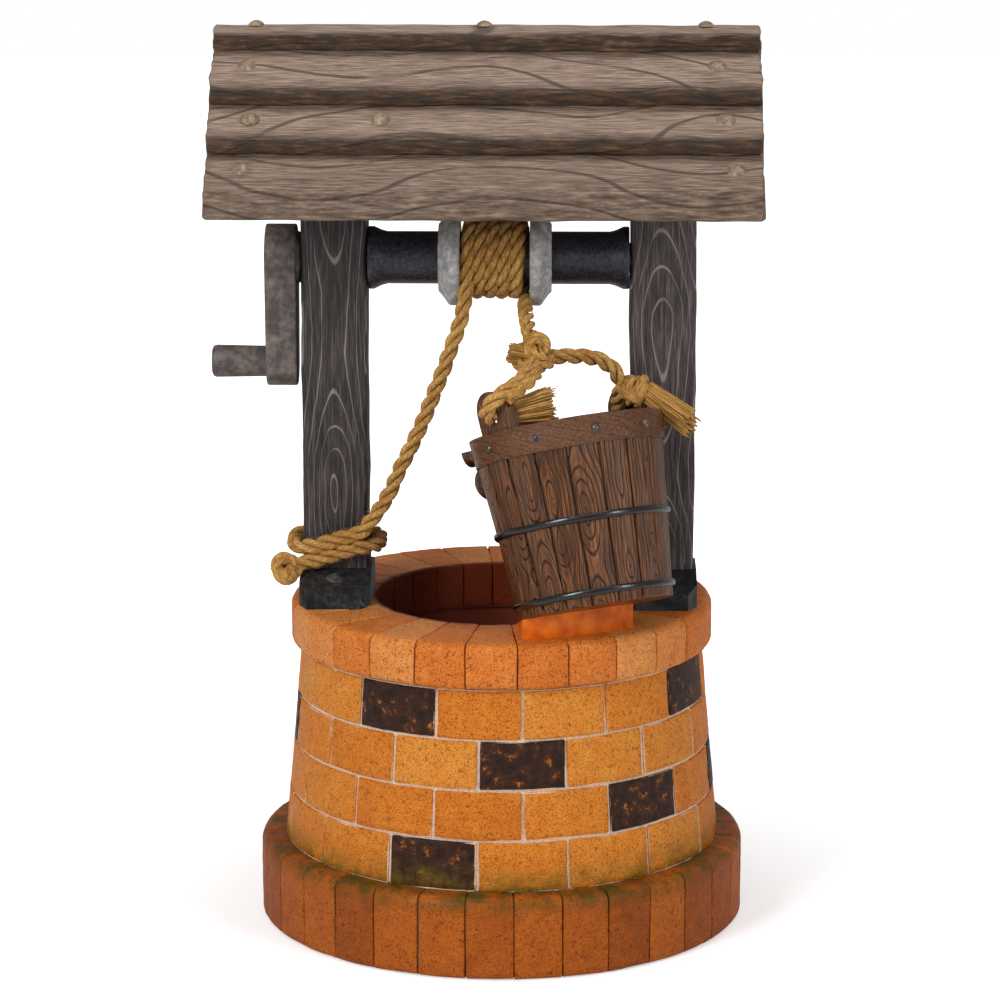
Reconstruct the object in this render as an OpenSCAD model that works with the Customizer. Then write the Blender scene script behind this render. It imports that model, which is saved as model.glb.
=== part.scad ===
// Tabletop wishing well fountain: a brick well with a reservoir and a pump,
// a windlass between two posts, a lapped board roof and a leaning bucket.
// Millimetres, +Z up. The origin is the middle of the underside of the plinth,
// the front is towards -Y and the crank is on the left, towards -X.

/* [Plinth] */
// Outer radius of the plinth course
plinth_r = 129; // [122:1:150]
// Height of the plinth course
plinth_h = 43.4; // [34:0.2:60]
// Thickness of the pan floor that carries the tub
pan_floor = 7; // [5:0.5:12]
// Bricks round the plinth
plinth_bricks = 32; // [20:1:44]

/* [Brick wall] */
// Outer radius of the wall at its foot
wall_foot_r = 116; // [112:0.5:120]
// Outer radius of the wall at its top
wall_top_r = 106.7; // [105:0.1:110]
// Inner radius of the wall round the tub
wall_bore_r = 98; // [96:0.5:100]
// Height of one brick course
course_h = 26.3; // [22:0.1:32]
// Brick courses in the wall
courses = 4; // [3:1:5]
// Bricks in one course of the wall
wall_bricks = 15; // [10:1:20]
// Thickness of the deck that closes in on the shaft of the well
deck_t = 18.5; // [14:0.5:24]
// Width of a mortar joint
joint_w = 1.6; // [0.8:0.1:3]
// Depth of a mortar joint
joint_d = 0.9; // [0.4:0.1:1.6]

/* [Coping] */
// Outer radius of the coping
coping_r = 111.8; // [110.5:0.1:118]
// Radius of the mouth of the well
mouth_r = 68.3; // [62:0.1:69]
// Height of the coping
coping_h = 24.7; // [18:0.1:32]
// Bricks round the coping
coping_bricks = 26; // [18:1:36]

/* [Posts] */
// Clear distance between the two posts
post_gap = 138; // [136:0.5:142]
// Width of a post, side to side
post_w = 34.6; // [28:0.2:37]
// Depth of a post, front to back
post_d = 26; // [24:0.5:30]
// How far the middle of the frame sits to the right of the well's middle
frame_x = -1.5; // [-3:0.1:3]
// How far a shoe reaches forwards and backwards
shoe_reach = 38; // [32:0.5:41]
// Height of a shoe's toe
shoe_toe_h = 9; // [6:0.5:14]

/* [Windlass] */
// Height of the axle above the coping
axle_rise = 181.8; // [170:0.2:186]
// Radius of the axle
axle_r = 8; // [5:0.1:10]
// Radius of the barrel
barrel_r = 13.9; // [12:0.1:15]
// Radius of a drum flange
flange_r = 25.3; // [22:0.1:27]
// Thickness of a drum flange at its hub
flange_t = 11.4; // [8:0.2:14]
// Clear width between the drum flanges
drum_w = 36.6; // [34:0.1:40]
// Distance from the axle to the grip
crank_throw = 55.7; // [45:0.1:58]
// Thickness of the crank arm
arm_t = 16.4; // [10:0.2:20]
// Radius of the crank arm round the axle
arm_hub_r = 17.6; // [13:0.1:20]
// Radius of the crank arm round the grip
arm_tip_r = 12.8; // [10:0.1:14]
// Radius of the crank grip
grip_r = 8.6; // [7:0.1:10]
// Length of the crank grip
grip_l = 29; // [22:0.5:40]

/* [Roof] */
// Height of the apex of the boards above the coping
roof_rise = 298.4; // [290:0.2:310]
// Length of the roof along the ridge
roof_l = 283.5; // [260:0.5:300]
// Distance that the roof sits to the left of the frame
roof_shift = 6.2; // [0:0.1:12]
// Tilt of a lapped board
board_tilt = 30; // [26:0.5:33]
// Thickness of a lapped board
board_t = 7.9; // [6:0.1:9]
// How far each board steps out past the one above it
board_step = 23; // [20:0.5:26]
// Distance from the ridge to the lower edge of the first board
first_edge = 40; // [36:0.5:44]
// Height of the eave face
eave_h = 15.2; // [11:0.1:18]
// Thickness of a rafter
rafter_t = 12; // [8:0.5:16]
// Radius of a nail head
nail_r = 5; // [3.5:0.1:6]

/* [Bucket] */
// Radius of the bucket at its foot
bucket_foot_r = 39.7; // [37:0.1:41]
// Radius of the bucket at its mouth
bucket_top_r = 49.5; // [46:0.1:50]
// Length of the bucket along its axis
bucket_h = 95.3; // [88:0.1:98]
// Thickness of the staves
stave_t = 5; // [3.5:0.1:6.5]
// Number of staves
staves = 18; // [12:1:24]
// Lean of the bucket to the left, in degrees
lean_left = 10.24; // [8:0.01:12]
// Lean of the bucket towards the back, in degrees
lean_back = 16.78; // [15:0.01:18]
// Width of the top band
band_w = 14.5; // [10:0.5:18]
// Height of an ear above the mouth
ear_h = 21; // [19:0.5:24]
// Distance of the wedge's face from the middle of the well
wedge_face_r = 99; // [94:0.5:105]

/* [Water] */
// Inner radius of the reservoir tub
tub_r = 92.5; // [91.5:0.1:93.5]
// Wall of the reservoir tub
tub_t = 3; // [2:0.1:3.5]
// Height of the reservoir tub
tub_h = 93; // [80:1:98]
// Outer radius of the riser pipe
riser_r = 6; // [5.5:0.1:6.5]
// Wall of the riser pipe
riser_t = 1.5; // [1:0.1:2]
// Radius of the pump's impeller
impeller_r = 10.4; // [8:0.1:10.6]
// Vanes on the impeller
vanes = 5; // [3:1:7]

/* [Rope] */
// Diameter of the rope
rope_d = 6.6; // [6:0.1:6.8]
// Whole turns of rope on the drum before the last part turn
whole_turns = 3; // [2:1:3]

/* [Hidden] */

$fn = 96;
// Play of a shaft that turns in its hole, and of a part that stays in its seat
running = 0.08;
seat = 0.05;
// Room between pieces that move past each other or must not touch
clear = 0.3;
big = 400;

// Heights
wall_h = course_h * courses;
wall_top = plinth_h + wall_h;
coping_top = wall_top + coping_h;
axle_z = coping_top + axle_rise;
apex_z = coping_top + roof_rise;
deck_r = mouth_r + 2;
deck_foot = wall_top - deck_t - 12;

// Posts and roof
post_out = post_gap / 2 + post_w / 2;
post_round = 2.5;
roof_mid = frame_x - roof_shift;
board_rise = board_t / cos(board_tilt);
board_drop = board_rise + board_step * tan(board_tilt);
first_drop = first_edge * tan(board_tilt);
eave_out = first_edge + 2 * board_step;
eave_top = apex_z - first_drop - 2 * board_drop;
nose_w = 12;
lap = 12;

// Bucket frame: its own X, Y and axis
bucket_at = [50.4, -34.5 - bucket_top_r, coping_top + 13];
bucket_u = [cos(lean_left), 0, sin(lean_left)];
bucket_v = [sin(lean_left) * sin(lean_back), cos(lean_back), -cos(lean_left) * sin(lean_back)];
bucket_a = [-sin(lean_left) * cos(lean_back), sin(lean_back), cos(lean_left) * cos(lean_back)];
band_t = 1.3;
hoop_r = 1.7;
ear_turn = 46;
ear_w = 24;
ear_hole_r = 4.5;
ear_hole_up = ear_h - 12.5;
spout_turn = 150;
spout_r = 8;
spout_reach = bucket_top_r + 12;
function stave_r(t) = bucket_foot_r + (bucket_top_r - bucket_foot_r) * t / bucket_h;
function bucket_place(r, turn, t) = bucket_at + r * cos(turn) * bucket_u
    + r * sin(turn) * bucket_v + t * bucket_a;
function at_ear(turn, out) = bucket_place(stave_r(bucket_h + ear_hole_up) - stave_t / 2 + out, turn,
    bucket_h + ear_hole_up);
// A place over the bucket's mouth, measured from the middle of the mouth
mouth_k = bucket_top_r / 49.5;
function mouth(x, y, up) = bucket_at + mouth_k * x * bucket_u + mouth_k * y * bucket_v
    + (bucket_h + up) * bucket_a;

// Pump and riser, in a frame that looks outwards from the middle of the well
riser_out = 80;
riser_turn = -57.8;
tub_floor = pan_floor + tub_t;
feet_h = 3;
pump_foot = tub_floor + feet_h;
pump_h = 38;
pump_top = pump_foot + pump_h;
chamber_r = 11.6;
chamber_y = -8;
chamber_l = 10;
pump_back = 26;
pump_wall = 2.5;
magnet_end = 14;
cover_t = 8;
rotor_z = pump_foot + 17;
outlet_off = chamber_r - 3.5;
magnet_r = 7.4;
pin_r = 1.2;
spigot_h = 12;
riser_bore_r = riser_r - riser_t;
riser_top = coping_top + 27;
dial_r = 5.5;
dial_z = pump_foot + 32;

// Rope
rope_r = rope_d / 2;
turn_gap = 0.45;
turn_pitch = rope_d + turn_gap;
wind_steps = 24;
wind_r = (barrel_r + clear + rope_r) / cos(180 / wind_steps);
wind_start = frame_x - 15.4;
wind_end_turn = 249;
flange_left_face = frame_x - 20.2;
flange_right_face = flange_left_face + drum_w;

function unit(v) = v / norm(v);
function tangents(p) = [for (i = [0:len(p) - 1])
    unit(p[min(i + 1, len(p) - 1)] - p[max(i - 1, 0)])];
function squared(n, d) = unit(n - (n * d) * d);
function carried(t, n, i = 0) = i == len(t) ? []
    : let (m = squared(n, t[i])) concat([m], carried(t, m, i + 1));
function least_gap(p, apart) = min([for (i = [0:len(p) - 1 - apart])
    for (j = [i + apart:len(p) - 1]) norm(p[i] - p[j])]) - rope_d;

// The turns on the drum, from the front over the top, with a straight end at each side
wind_turned = wind_end_turn + 360 * whole_turns;
function wind_point(turn) = [wind_start + turn_pitch * turn / 360,
    -wind_r * cos(turn), axle_z + wind_r * sin(turn)];
function wind_way(turn) = unit([turn_pitch / 360 * 180 / PI, wind_r * sin(turn), wind_r * cos(turn)]);
wind_first = wind_point(0) - rope_d * wind_way(0);
wind_last = wind_point(wind_turned) + rope_d * wind_way(wind_turned);
wind_n = ceil(wind_turned / 360 * wind_steps);
winding_route = concat([wind_first],
    [for (i = [0:wind_n]) wind_point(wind_turned * i / wind_n)], [wind_last]);

// The hitch round the left post: two passes across the front, falling to the left
hitch_a = post_w / 2 + 5.2;
hitch_b = post_d / 2 + 4.5;
hitch_round = 10;
hitch_front = 2 * (hitch_a - hitch_round);
hitch_side = 2 * (hitch_b - hitch_round);
hitch_arc = PI / 2 * hitch_round;
hitch_fall = 7.6;
hitch_z = coping_top + 36.8;
hitch_x = frame_x - post_out;
function hitch_corner(x, y, from, s) = [x + hitch_round * cos(from - 90 * s / hitch_arc),
    y + hitch_round * sin(from - 90 * s / hitch_arc)];
function hitch_xy(s) = let (fx = hitch_front / 2, sy = hitch_side / 2,
    s1 = s - hitch_front, s2 = s1 - hitch_arc, s3 = s2 - hitch_side, s4 = s3 - hitch_arc,
    s5 = s4 - hitch_front, s6 = s5 - hitch_arc, s7 = s6 - hitch_side)
    s1 < 0 ? [fx - s, -hitch_b]
    : s2 < 0 ? hitch_corner(-fx, -sy, 270, s1)
    : s3 < 0 ? [-hitch_a, -sy + s2]
    : s4 < 0 ? hitch_corner(-fx, sy, 180, s3)
    : s5 < 0 ? [-fx + s4, hitch_b]
    : s6 < 0 ? hitch_corner(fx, sy, 90, s5)
    : s7 < 0 ? [hitch_a, sy - s6]
    : hitch_corner(fx, -sy, 0, s7);
hitch_loop = 2 * (hitch_front + hitch_side) + 4 * hitch_arc;
function hitch_point(s) = let (pass = floor(s / hitch_loop), q = s - pass * hitch_loop, p = hitch_xy(q))
    [hitch_x + p[0], p[1], hitch_z - hitch_fall * (pass + min(q / hitch_front, 1))];
hitch_steps = 24;
hitch_length = hitch_loop + hitch_front;
hitch_n = ceil(hitch_length / hitch_loop * hitch_steps);
stopper_at = [-114, -22.5, 193 - 173.3 + coping_top];
hitch_lead = rope_d * unit([1, -0.2, 1]);
hitch_tail = hitch_point(hitch_length - 0.01);
hitch_route = concat([hitch_point(0) + hitch_lead],
    [for (i = [0:hitch_n - 1]) hitch_point(hitch_length * i / hitch_n)],
    [hitch_tail, hitch_tail + 9 * unit(stopper_at - hitch_tail)]);

// Routes of the free ropes: from the drum to the post, from the drum to the bucket, and the bail.
// Where a stretch spans two pieces, its points are percentages of the way in X and Z
function way_on(a, b, p) = [a[0] + (b[0] - a[0]) * p[0] / 100, p[1], a[2] + (b[2] - a[2]) * p[2] / 100];
post_route = concat([wind_first, wind_first - rope_d * wind_way(0)],
    [for (p = [[-0.7, -2.3, -11.3], [-1.6, -4.9, -16.5], [-3, -6.3, -23]]) wind_first + p],
    [for (p = [[12.5, -24.8, 26], [20, -25, 35], [29.5, -25.5, 45], [40, -25.5, 55.5],
    [52, -25, 66], [65, -24.5, 76.5], [76.5, -23, 86.5]]) way_on(wind_first, hitch_route[0], p)],
    [hitch_route[0] + hitch_lead, hitch_route[0]]);
knot_at = mouth(-9.5, -17, 37.5);
knot_r = 10.5;
small_knot_r = 7.5;
drum_exit = wind_last + rope_d * wind_way(wind_turned);
bucket_route = concat([wind_last, drum_exit],
    [for (p = [[7, -14, 6], [25, -24, 20], [45, -34, 36], [68, -45, 58], [88, -54, 80]])
    way_on(drum_exit, knot_at, p)], [knot_at]);
bail_route = concat([at_ear(180 + ear_turn, -10.3), at_ear(180 + ear_turn, -5), at_ear(180 + ear_turn, 0),
    at_ear(180 + ear_turn, 4.5)], [for (p = [[-37, -41.5, 10.5], [-33, -45, 14.5], [-28, -45, 20.5],
    [-19.5, -36.5, 25], [-11.5, -27, 30.5], [-9.5, -17, 36], [0.5, -12, 35.5], [12, -7, 34.5], [22.5, -0.5, 31.5],
    [28.5, 4, 26.5], [31, 8, 20], [29.5, 17, 13]]) mouth(p[0], p[1], p[2])],
    [at_ear(ear_turn, -8), at_ear(ear_turn, -3), at_ear(ear_turn, 1), at_ear(ear_turn, 5)]);

// The knot and tail at the right ear: places over the mouth, and the radius there
knot_swell = [[31, 8, 20, 3.3], [33.5, 8.5, 18.2, 3.5], [35.5, 9, 16.8, 6], [38, 9.4, 15, 7.8],
    [42, 10, 12.5, 8.3], [46, 9, 11, 7.2], [48.5, 8, 9.8, 5.2], [51.5, 7, 8.6, 4.6], [54.5, 6.2, 6.5, 4.8],
    [58, 6, 0.5, 5.4], [61.5, 5.8, -5.5, 6.2], [65, 5.5, -11.5, 7]];

echo(str("least gap in the winding ", least_gap(winding_route, 12), " mm"));
echo(str("least gap in the hitch ", least_gap(hitch_route, 8), " mm"));

// One unbroken rope along a route, of one radius or of a radius for each point
module rope(p, sides, r = rope_r) {
    t = tangents(p);
    n = carried(t, abs(t[0][2]) > 0.7 ? [1, 0, 0] : [0, 0, 1]);
    last = (len(p) - 1) * sides;
    ring = [for (i = [0:len(p) - 1]) for (k = [0:sides - 1])
        p[i] + (is_list(r) ? r[i] : r)
        * (cos(360 * k / sides) * n[i] + sin(360 * k / sides) * cross(t[i], n[i]))];
    walls = [for (i = [0:len(p) - 2]) for (k = [0:sides - 1])
        let (a = i * sides + k, b = i * sides + (k + 1) % sides)
        each [[a, a + sides, b + sides], [a, b + sides, b]]];
    caps = [for (k = [1:sides - 2]) each [[0, k, k + 1], [last, last + k + 1, last + k]]];
    polyhedron(points = ring, faces = concat(walls, caps));
}

// A low round head on the XY plane
module dome(r, h) {
    ball = (r * r + h * h) / (2 * h);
    intersection() {
        translate([0, 0, h - ball]) sphere(r = ball);
        cylinder(r = r, h = h);
    }
}

// A turned shape along +X
module turned(profile) {
    rotate([0, 90, 0]) rotate_extrude() polygon(profile);
}

// Thin upright slabs that stand out from the middle like the joints of a ring of bricks
module radial_joints(count, first, low, high) {
    for (k = [0:count - 1])
        rotate([0, 0, -90 + first + 360 * k / count])
            translate([0, -joint_w / 2, low])
                cube([plinth_r + joint_w, joint_w, high - low]);
}

// Plinth course
module plinth_body(inset) {
    r = plinth_r - inset;
    top = plinth_h - inset;
    rotate_extrude() polygon([[wall_bore_r, 0], [r - 5, 0], [r, 7], [r, top - 4], [r - 1.2, top - 1.2],
        [r - 4, top], [wall_bore_r, top]]);
}
module plinth_course() {
    color("peru") union() {
        difference() {
            plinth_body(0);
            difference() {
                radial_joints(plinth_bricks, 3.9, -1, plinth_h - joint_d / 2 + 1);
                plinth_body(joint_d);
                cylinder(r = wall_foot_r, h = plinth_h + 2);
            }
        }
        cylinder(r = wall_bore_r + 5, h = pan_floor);
    }
}

// Brick wall: a tapered shell with a deck at its top
function wall_r(z) = wall_foot_r + (wall_top_r - wall_foot_r) * (z - plinth_h) / wall_h;
module wall_cone(inset) {
    translate([0, 0, plinth_h])
        cylinder(r1 = wall_foot_r - inset, r2 = wall_top_r - inset, h = wall_h);
}
module course_joints() {
    for (c = [0:courses - 1]) {
        low = plinth_h + c * course_h;
        radial_joints(wall_bricks, (courses - c) % 2 == 1 ? 6.7 : -5.3, low, low + course_h);
        if (c > 0)
            translate([0, 0, low - joint_w / 2]) cylinder(r = plinth_r, h = joint_w);
    }
}
grommet_z = wall_top - 39.5;
grommet_r = 6;
grommet_collar_r = 8;
collar_seat = wall_r(grommet_z) - 1.4;
screw_r = 3;
screw_head_r = 5.5;
screw_seat = wall_top - 12;
screw_l = 72;
module riser_hole() {
    riser_frame() translate([0, 0, plinth_h]) cylinder(r = riser_r + clear, h = big, $fn = 48);
}
module brick_wall() {
    color("chocolate") difference() {
        wall_cone(0);
        rotate_extrude() polygon([[0, plinth_h - 1], [wall_bore_r, plinth_h - 1], [wall_bore_r, deck_foot],
            [deck_r, wall_top - deck_t], [deck_r, wall_top + 1], [0, wall_top + 1]]);
        difference() {
            course_joints();
            wall_cone(joint_d);
        }
        riser_hole();
        translate([0, 0, grommet_z]) rotate([-90, 0, 0]) {
            cylinder(r = grommet_r, h = plinth_r);
            translate([0, 0, collar_seat]) cylinder(r = grommet_collar_r + clear, h = plinth_r);
        }
        for (side = [-1, 1])
            translate([frame_x + side * post_out, 0, deck_foot - 10]) {
                cylinder(r = screw_r, h = big, $fn = 32);
                cylinder(r = screw_head_r + clear, h = screw_seat - deck_foot + 10, $fn = 32);
            }
    }
}

// Coping ring
module coping_body(inset) {
    r = coping_r - inset;
    top = coping_top - inset;
    m = mouth_r + inset;
    rotate_extrude() polygon([[m, wall_top], [wall_top_r, wall_top], [wall_top_r + 1, wall_top + 1.6],
        [r - 1, wall_top + 2.6], [r, wall_top + 4.6], [r, top - 4.4], [r - 1.3, top - 1.4],
        [r - 4.2, top], [m + 1.2, top], [m, top - 1.2]]);
}
module coping_ring() {
    color("sandybrown") difference() {
        coping_body(0);
        difference() {
            radial_joints(coping_bricks, 5.2, wall_top, coping_top + 1);
            coping_body(joint_d);
            cylinder(r = wall_top_r - 0.5, h = wall_top + joint_d);
        }
        riser_hole();
        for (side = [-1, 1])
            translate([frame_x + side * post_out, 0, 0]) cylinder(r = screw_r, h = big, $fn = 32);
    }
}

// Reservoir tub with a rolled rim
module reservoir_tub() {
    out = tub_r + tub_t;
    top = pan_floor + tub_h;
    color("dimgray") rotate_extrude() polygon([[0, pan_floor], [out - 4, pan_floor], [out, pan_floor + 4],
        [out, top - 3], [out + 1.6, top - 3], [out + 1.6, top], [tub_r, top], [tub_r, tub_floor + 3],
        [tub_r - 3, tub_floor], [0, tub_floor]]);
}

// Rubber grommet in the back of the wall, where the pump's lead would come out
module cable_grommet() {
    lead_r = 3.2;
    color("black") translate([0, 0, grommet_z]) rotate([-90, 0, 0]) difference() {
        union() {
            translate([0, 0, wall_bore_r - 1.5]) cylinder(r = grommet_r, h = collar_seat - wall_bore_r + 2);
            translate([0, 0, collar_seat]) cylinder(r1 = grommet_collar_r, r2 = grommet_collar_r - 1, h = 3);
        }
        translate([0, 0, wall_bore_r - 5]) cylinder(r = lead_r, h = 30, $fn = 32);
    }
}

// Pump pieces stand in this frame: X outwards, the rotor along Y, the riser at the origin
module riser_frame() {
    rotate([0, 0, riser_turn]) translate([riser_out, 0, 0]) children();
}
module along_y(y, l, r, sides = 64) {
    translate([-outlet_off, y, rotor_z]) rotate([-90, 0, 0]) cylinder(r = r, h = l, $fn = sides);
}
body_x = -outlet_off - chamber_r - pump_wall;
body_w = 2 * (chamber_r + pump_wall);
module rounded_box(size, r) {
    linear_extrude(height = size[2]) union() {
        translate([r, 0]) square([size[0] - 2 * r, size[1]]);
        translate([0, r]) square([size[0], size[1] - 2 * r]);
        for (x = [r, size[0] - r]) for (y = [r, size[1] - r])
            translate([x, y]) circle(r = r, $fn = 32);
    }
}
module pump_body() {
    color("darkslategray") riser_frame() difference() {
        union() {
            translate([body_x, chamber_y, pump_foot])
                rounded_box([body_w, pump_back - chamber_y, pump_h], 3);
            translate([0, 0, pump_top - 1]) cylinder(r = riser_bore_r - seat, h = spigot_h + 1, $fn = 48);
            for (z = [pump_foot + 6:6:pump_top - 6])
                translate([body_x - 1, 6, z]) cube([body_w + 2, 16, 2]);
            translate([-outlet_off, pump_back - 1, pump_foot + 10]) rotate([-90, 0, 0])
                cylinder(r1 = 4.2, r2 = 3.2, h = 9, $fn = 32);
        }
        along_y(chamber_y - 3, chamber_l + 3, chamber_r);
        along_y(chamber_y, magnet_end - chamber_y + 0.6, magnet_r + 0.6);
        along_y(0, magnet_end + 6, pin_r + running, 24);
        translate([0, 0, rotor_z]) cylinder(r = 3.5, h = big / 4, $fn = 32);
    }
}
module pump_intake_cover() {
    front = chamber_y - cover_t;
    color("slategray") riser_frame() difference() {
        translate([body_x, front, pump_foot]) rounded_box([body_w, cover_t, pump_h], 3);
        along_y(front + 2, cover_t, chamber_r - 1);
        for (x = [-8:4:8])
            translate([-outlet_off + x - 1, front - 1, rotor_z - 9]) cube([2, 4, x == 0 ? 6 : 18]);
        translate([-outlet_off, front - 1, dial_z]) rotate([-90, 0, 0])
            cylinder(r = 2 + running, h = 5, $fn = 32);
    }
    color("slategray") riser_frame() difference() {
        along_y(front + 1.5, 4.5, 3.4, 32);
        along_y(front + 1, 6, pin_r + running, 24);
    }
}
module pump_impeller() {
    color("white") riser_frame() {
        along_y(chamber_y + 4.4, 1.6, impeller_r);
        along_y(chamber_y + 5, magnet_end - chamber_y - 5, magnet_r);
        translate([-outlet_off, 0, rotor_z]) for (k = [0:vanes - 1])
            rotate([0, 360 * k / vanes, 0])
                translate([2.6, chamber_y + 0.4, -0.7]) cube([impeller_r - 3, 4.4, 1.4]);
        along_y(chamber_y - 3.6, 4, pin_r, 24);
        along_y(magnet_end - 0.2, 5.2, pin_r, 24);
        along_y(chamber_y + 0.2, 4.4, 3, 32);
    }
}
module pump_flow_dial() {
    front = chamber_y - cover_t;
    color("gray") riser_frame() translate([-outlet_off, front - clear, dial_z])
        rotate([90, 0, 0]) {
            difference() {
                cylinder(r = dial_r, h = 2.5, $fn = 48);
                for (k = [0:11]) rotate([0, 0, 30 * k]) translate([dial_r, 0, -1])
                    cylinder(r = 0.6, h = 5, $fn = 16);
            }
            translate([-1, 0, 2.4]) cube([2, dial_r - 0.5, 1.8]);
            translate([0, 0, -3]) cylinder(r = 2, h = 3.2, $fn = 32);
        }
}
module pump_suction_feet() {
    color("black") riser_frame() for (x = [body_x + 5, body_x + body_w - 5]) for (y = [-3, 16])
        translate([x, y, tub_floor]) cylinder(r1 = 4.6, r2 = 2.8, h = feet_h, $fn = 32);
}
module riser_pipe() {
    color("gainsboro") riser_frame() difference() {
        translate([0, 0, pump_top + 1]) cylinder(r = riser_r, h = riser_top - pump_top - 1, $fn = 48);
        cylinder(r = riser_bore_r, h = big, $fn = 48);
    }
}

// Bucket
module in_bucket() {
    translate(bucket_at) rotate([-lean_back, -lean_left, 0]) children();
}
module bucket_cone(inset, low = 0, high = bucket_h) {
    translate([0, 0, low]) cylinder(r1 = stave_r(low) - inset, r2 = stave_r(high) - inset, h = high - low);
}
module spout_notch(r) {
    rotate([0, 0, spout_turn]) {
        translate([bucket_top_r - 10, 0, bucket_h - 2]) rotate([0, 90, 0]) cylinder(r = r, h = 30, $fn = 48);
        translate([bucket_top_r - 10, -r, bucket_h - 2]) cube([30, 2 * r, 10]);
    }
}
module bucket_staves() {
    groove = 1;
    color("saddlebrown") in_bucket() difference() {
        bucket_cone(0);
        translate([0, 0, -1]) cylinder(r1 = stave_r(-1) - stave_t, r2 = stave_r(bucket_h + 1) - stave_t,
            h = bucket_h + 2);
        difference() {
            for (k = [0:staves - 1]) rotate([0, 0, 360 * (k + 0.5) / staves])
                translate([0, -groove / 2, -1]) cube([bucket_top_r + 5, groove, bucket_h + 2]);
            bucket_cone(0.7, -2, bucket_h + 2);
        }
        spout_notch(spout_r);
    }
}
module bucket_bottom() {
    board = 6;
    color("sienna") difference() {
        in_bucket() bucket_cone(stave_t + seat, 0, board);
        riser_hole();
    }
}
module bucket_top_band() {
    low = bucket_h - band_w;
    color("rosybrown") in_bucket() difference() {
        bucket_cone(-band_t, low, bucket_h);
        bucket_cone(-seat, low - 1, bucket_h + 1);
        spout_notch(spout_r);
        rivets(0);
    }
}
module hoop(t) {
    color("black") in_bucket() difference() {
        rotate_extrude() translate([stave_r(t) + 0.2, t]) circle(r = hoop_r, $fn = 24);
        bucket_cone(-seat, t - 5, t + 5);
    }
}
module bucket_middle_hoop() {
    hoop(bucket_h * 0.464);
}
module bucket_lower_hoop() {
    hoop(bucket_h * 0.07);
}
rivet_r = 2.4;
rivet_step = 36;
rivet_turns = [for (k = [-3:6]) if (abs(1.6 + rivet_step * k - spout_turn) > 15)
    1.6 + rivet_step * k];
module rivets(play) {
    t = bucket_h - band_w / 2;
    for (turn = rivet_turns)
        rotate([0, 0, turn])
            translate([stave_r(t) + 0.3, 0, t]) rotate([0, 90, 0]) {
                cylinder(r = rivet_r + play, h = band_t, $fn = 32);
                translate([0, 0, band_t - 0.1]) dome(rivet_r + play, 1.3, $fn = 32);
            }
}
module bucket_rivets() {
    color("dimgray") in_bucket() rivets(0);
}
module ear(turn) {
    color("saddlebrown") in_bucket() difference() {
        intersection() {
            bucket_cone(0, bucket_h - 1, bucket_h + ear_h + 1);
            rotate([0, 0, turn]) union() {
                translate([30, -ear_w / 2, bucket_h]) cube([30, ear_w, ear_h - ear_w / 2]);
                translate([30, 0, bucket_h + ear_h - ear_w / 2]) rotate([0, 90, 0])
                    cylinder(r = ear_w / 2, h = 30);
            }
        }
        bucket_cone(stave_t, bucket_h - 2, bucket_h + ear_h + 2);
        translate([0, 0, bucket_h - 20]) cylinder(r = bucket_top_r + 10, h = 20);
        rotate([0, 0, turn]) translate([20, 0, bucket_h + ear_hole_up]) rotate([0, 90, 0])
            cylinder(r = ear_hole_r, h = 50, $fn = 48);
    }
}
module bucket_ear_left() {
    ear(180 + ear_turn);
}
module bucket_ear_right() {
    ear(ear_turn);
}
module pouring_spout() {
    low = bucket_h - band_w;
    color("saddlebrown") in_bucket() difference() {
        rotate([0, 0, spout_turn]) union() {
            difference() {
                translate([bucket_top_r - stave_t, 0, bucket_h - 2]) rotate([0, 90, 0])
                    cylinder(r = spout_r, h = spout_reach - bucket_top_r + stave_t, $fn = 48);
                translate([0, 0, bucket_h - 2]) rotate([0, 90, 0]) cylinder(r = spout_r - 2.5, h = 90, $fn = 48);
                translate([0, -20, bucket_h - 2]) cube([90, 40, 20]);
            }
            translate([bucket_top_r - 0.5, 0, bucket_h - 19.5]) sphere(r = 10.5, $fn = 48);
        }
        difference() {
            bucket_cone(-band_t - seat, low - seat, bucket_h + 20);
            spout_notch(spout_r);
        }
        bucket_cone(-seat, 0, low + 1);
        difference() {
            bucket_cone(0, low, bucket_h - 2 - spout_r + 0.5);
            spout_notch(spout_r);
        }
        translate([0, 0, -5]) cylinder(r = bucket_top_r - stave_t, h = bucket_h - 6);
    }
}

// The wedge of brick that the bucket leans on
module bucket_wedge() {
    from = -82.8;
    to = -45.5;
    color("darkorange") difference() {
        translate([0, 0, coping_top]) cylinder(r = wedge_face_r, h = 40);
        translate([0, 0, coping_top - 1]) cylinder(r = mouth_r + 1.5, h = 50);
        rotate([0, 0, from]) translate([-big, -big, coping_top - 1]) cube([2 * big, big, 50]);
        rotate([0, 0, to]) translate([-big, 0, coping_top - 1]) cube([2 * big, big, 50]);
        in_bucket() translate([-big, -big, 0]) cube([2 * big, 2 * big, big]);
        riser_hole();
    }
}

// Posts
module post_plan(grow) {
    w = post_w + 2 * grow;
    d = post_d + 2 * grow;
    translate([-w / 2, -d / 2]) union() {
        r = post_round;
        translate([r, 0]) square([w - 2 * r, d]);
        translate([0, r]) square([w, d - 2 * r]);
        for (x = [r, w - r]) for (y = [r, d - r])
            translate([x, y]) circle(r = r, $fn = 32);
    }
}
module post(side) {
    color("darkslategray") difference() {
        translate([frame_x + side * post_out, 0, coping_top])
            linear_extrude(height = roof_rise) post_plan(0);
        roof_space();
        translate([frame_x - big / 2, 0, axle_z]) rotate([0, 90, 0])
            cylinder(r = axle_r + running, h = big / 2 + post_gap / 2 + 24, $fn = 64);
        translate([frame_x + side * post_out, 0, 0]) cylinder(r = screw_r, h = screw_seat + screw_l + 1, $fn = 32);
    }
}
module post_left() {
    post(-1);
}
module post_right() {
    post(1);
}
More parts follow.
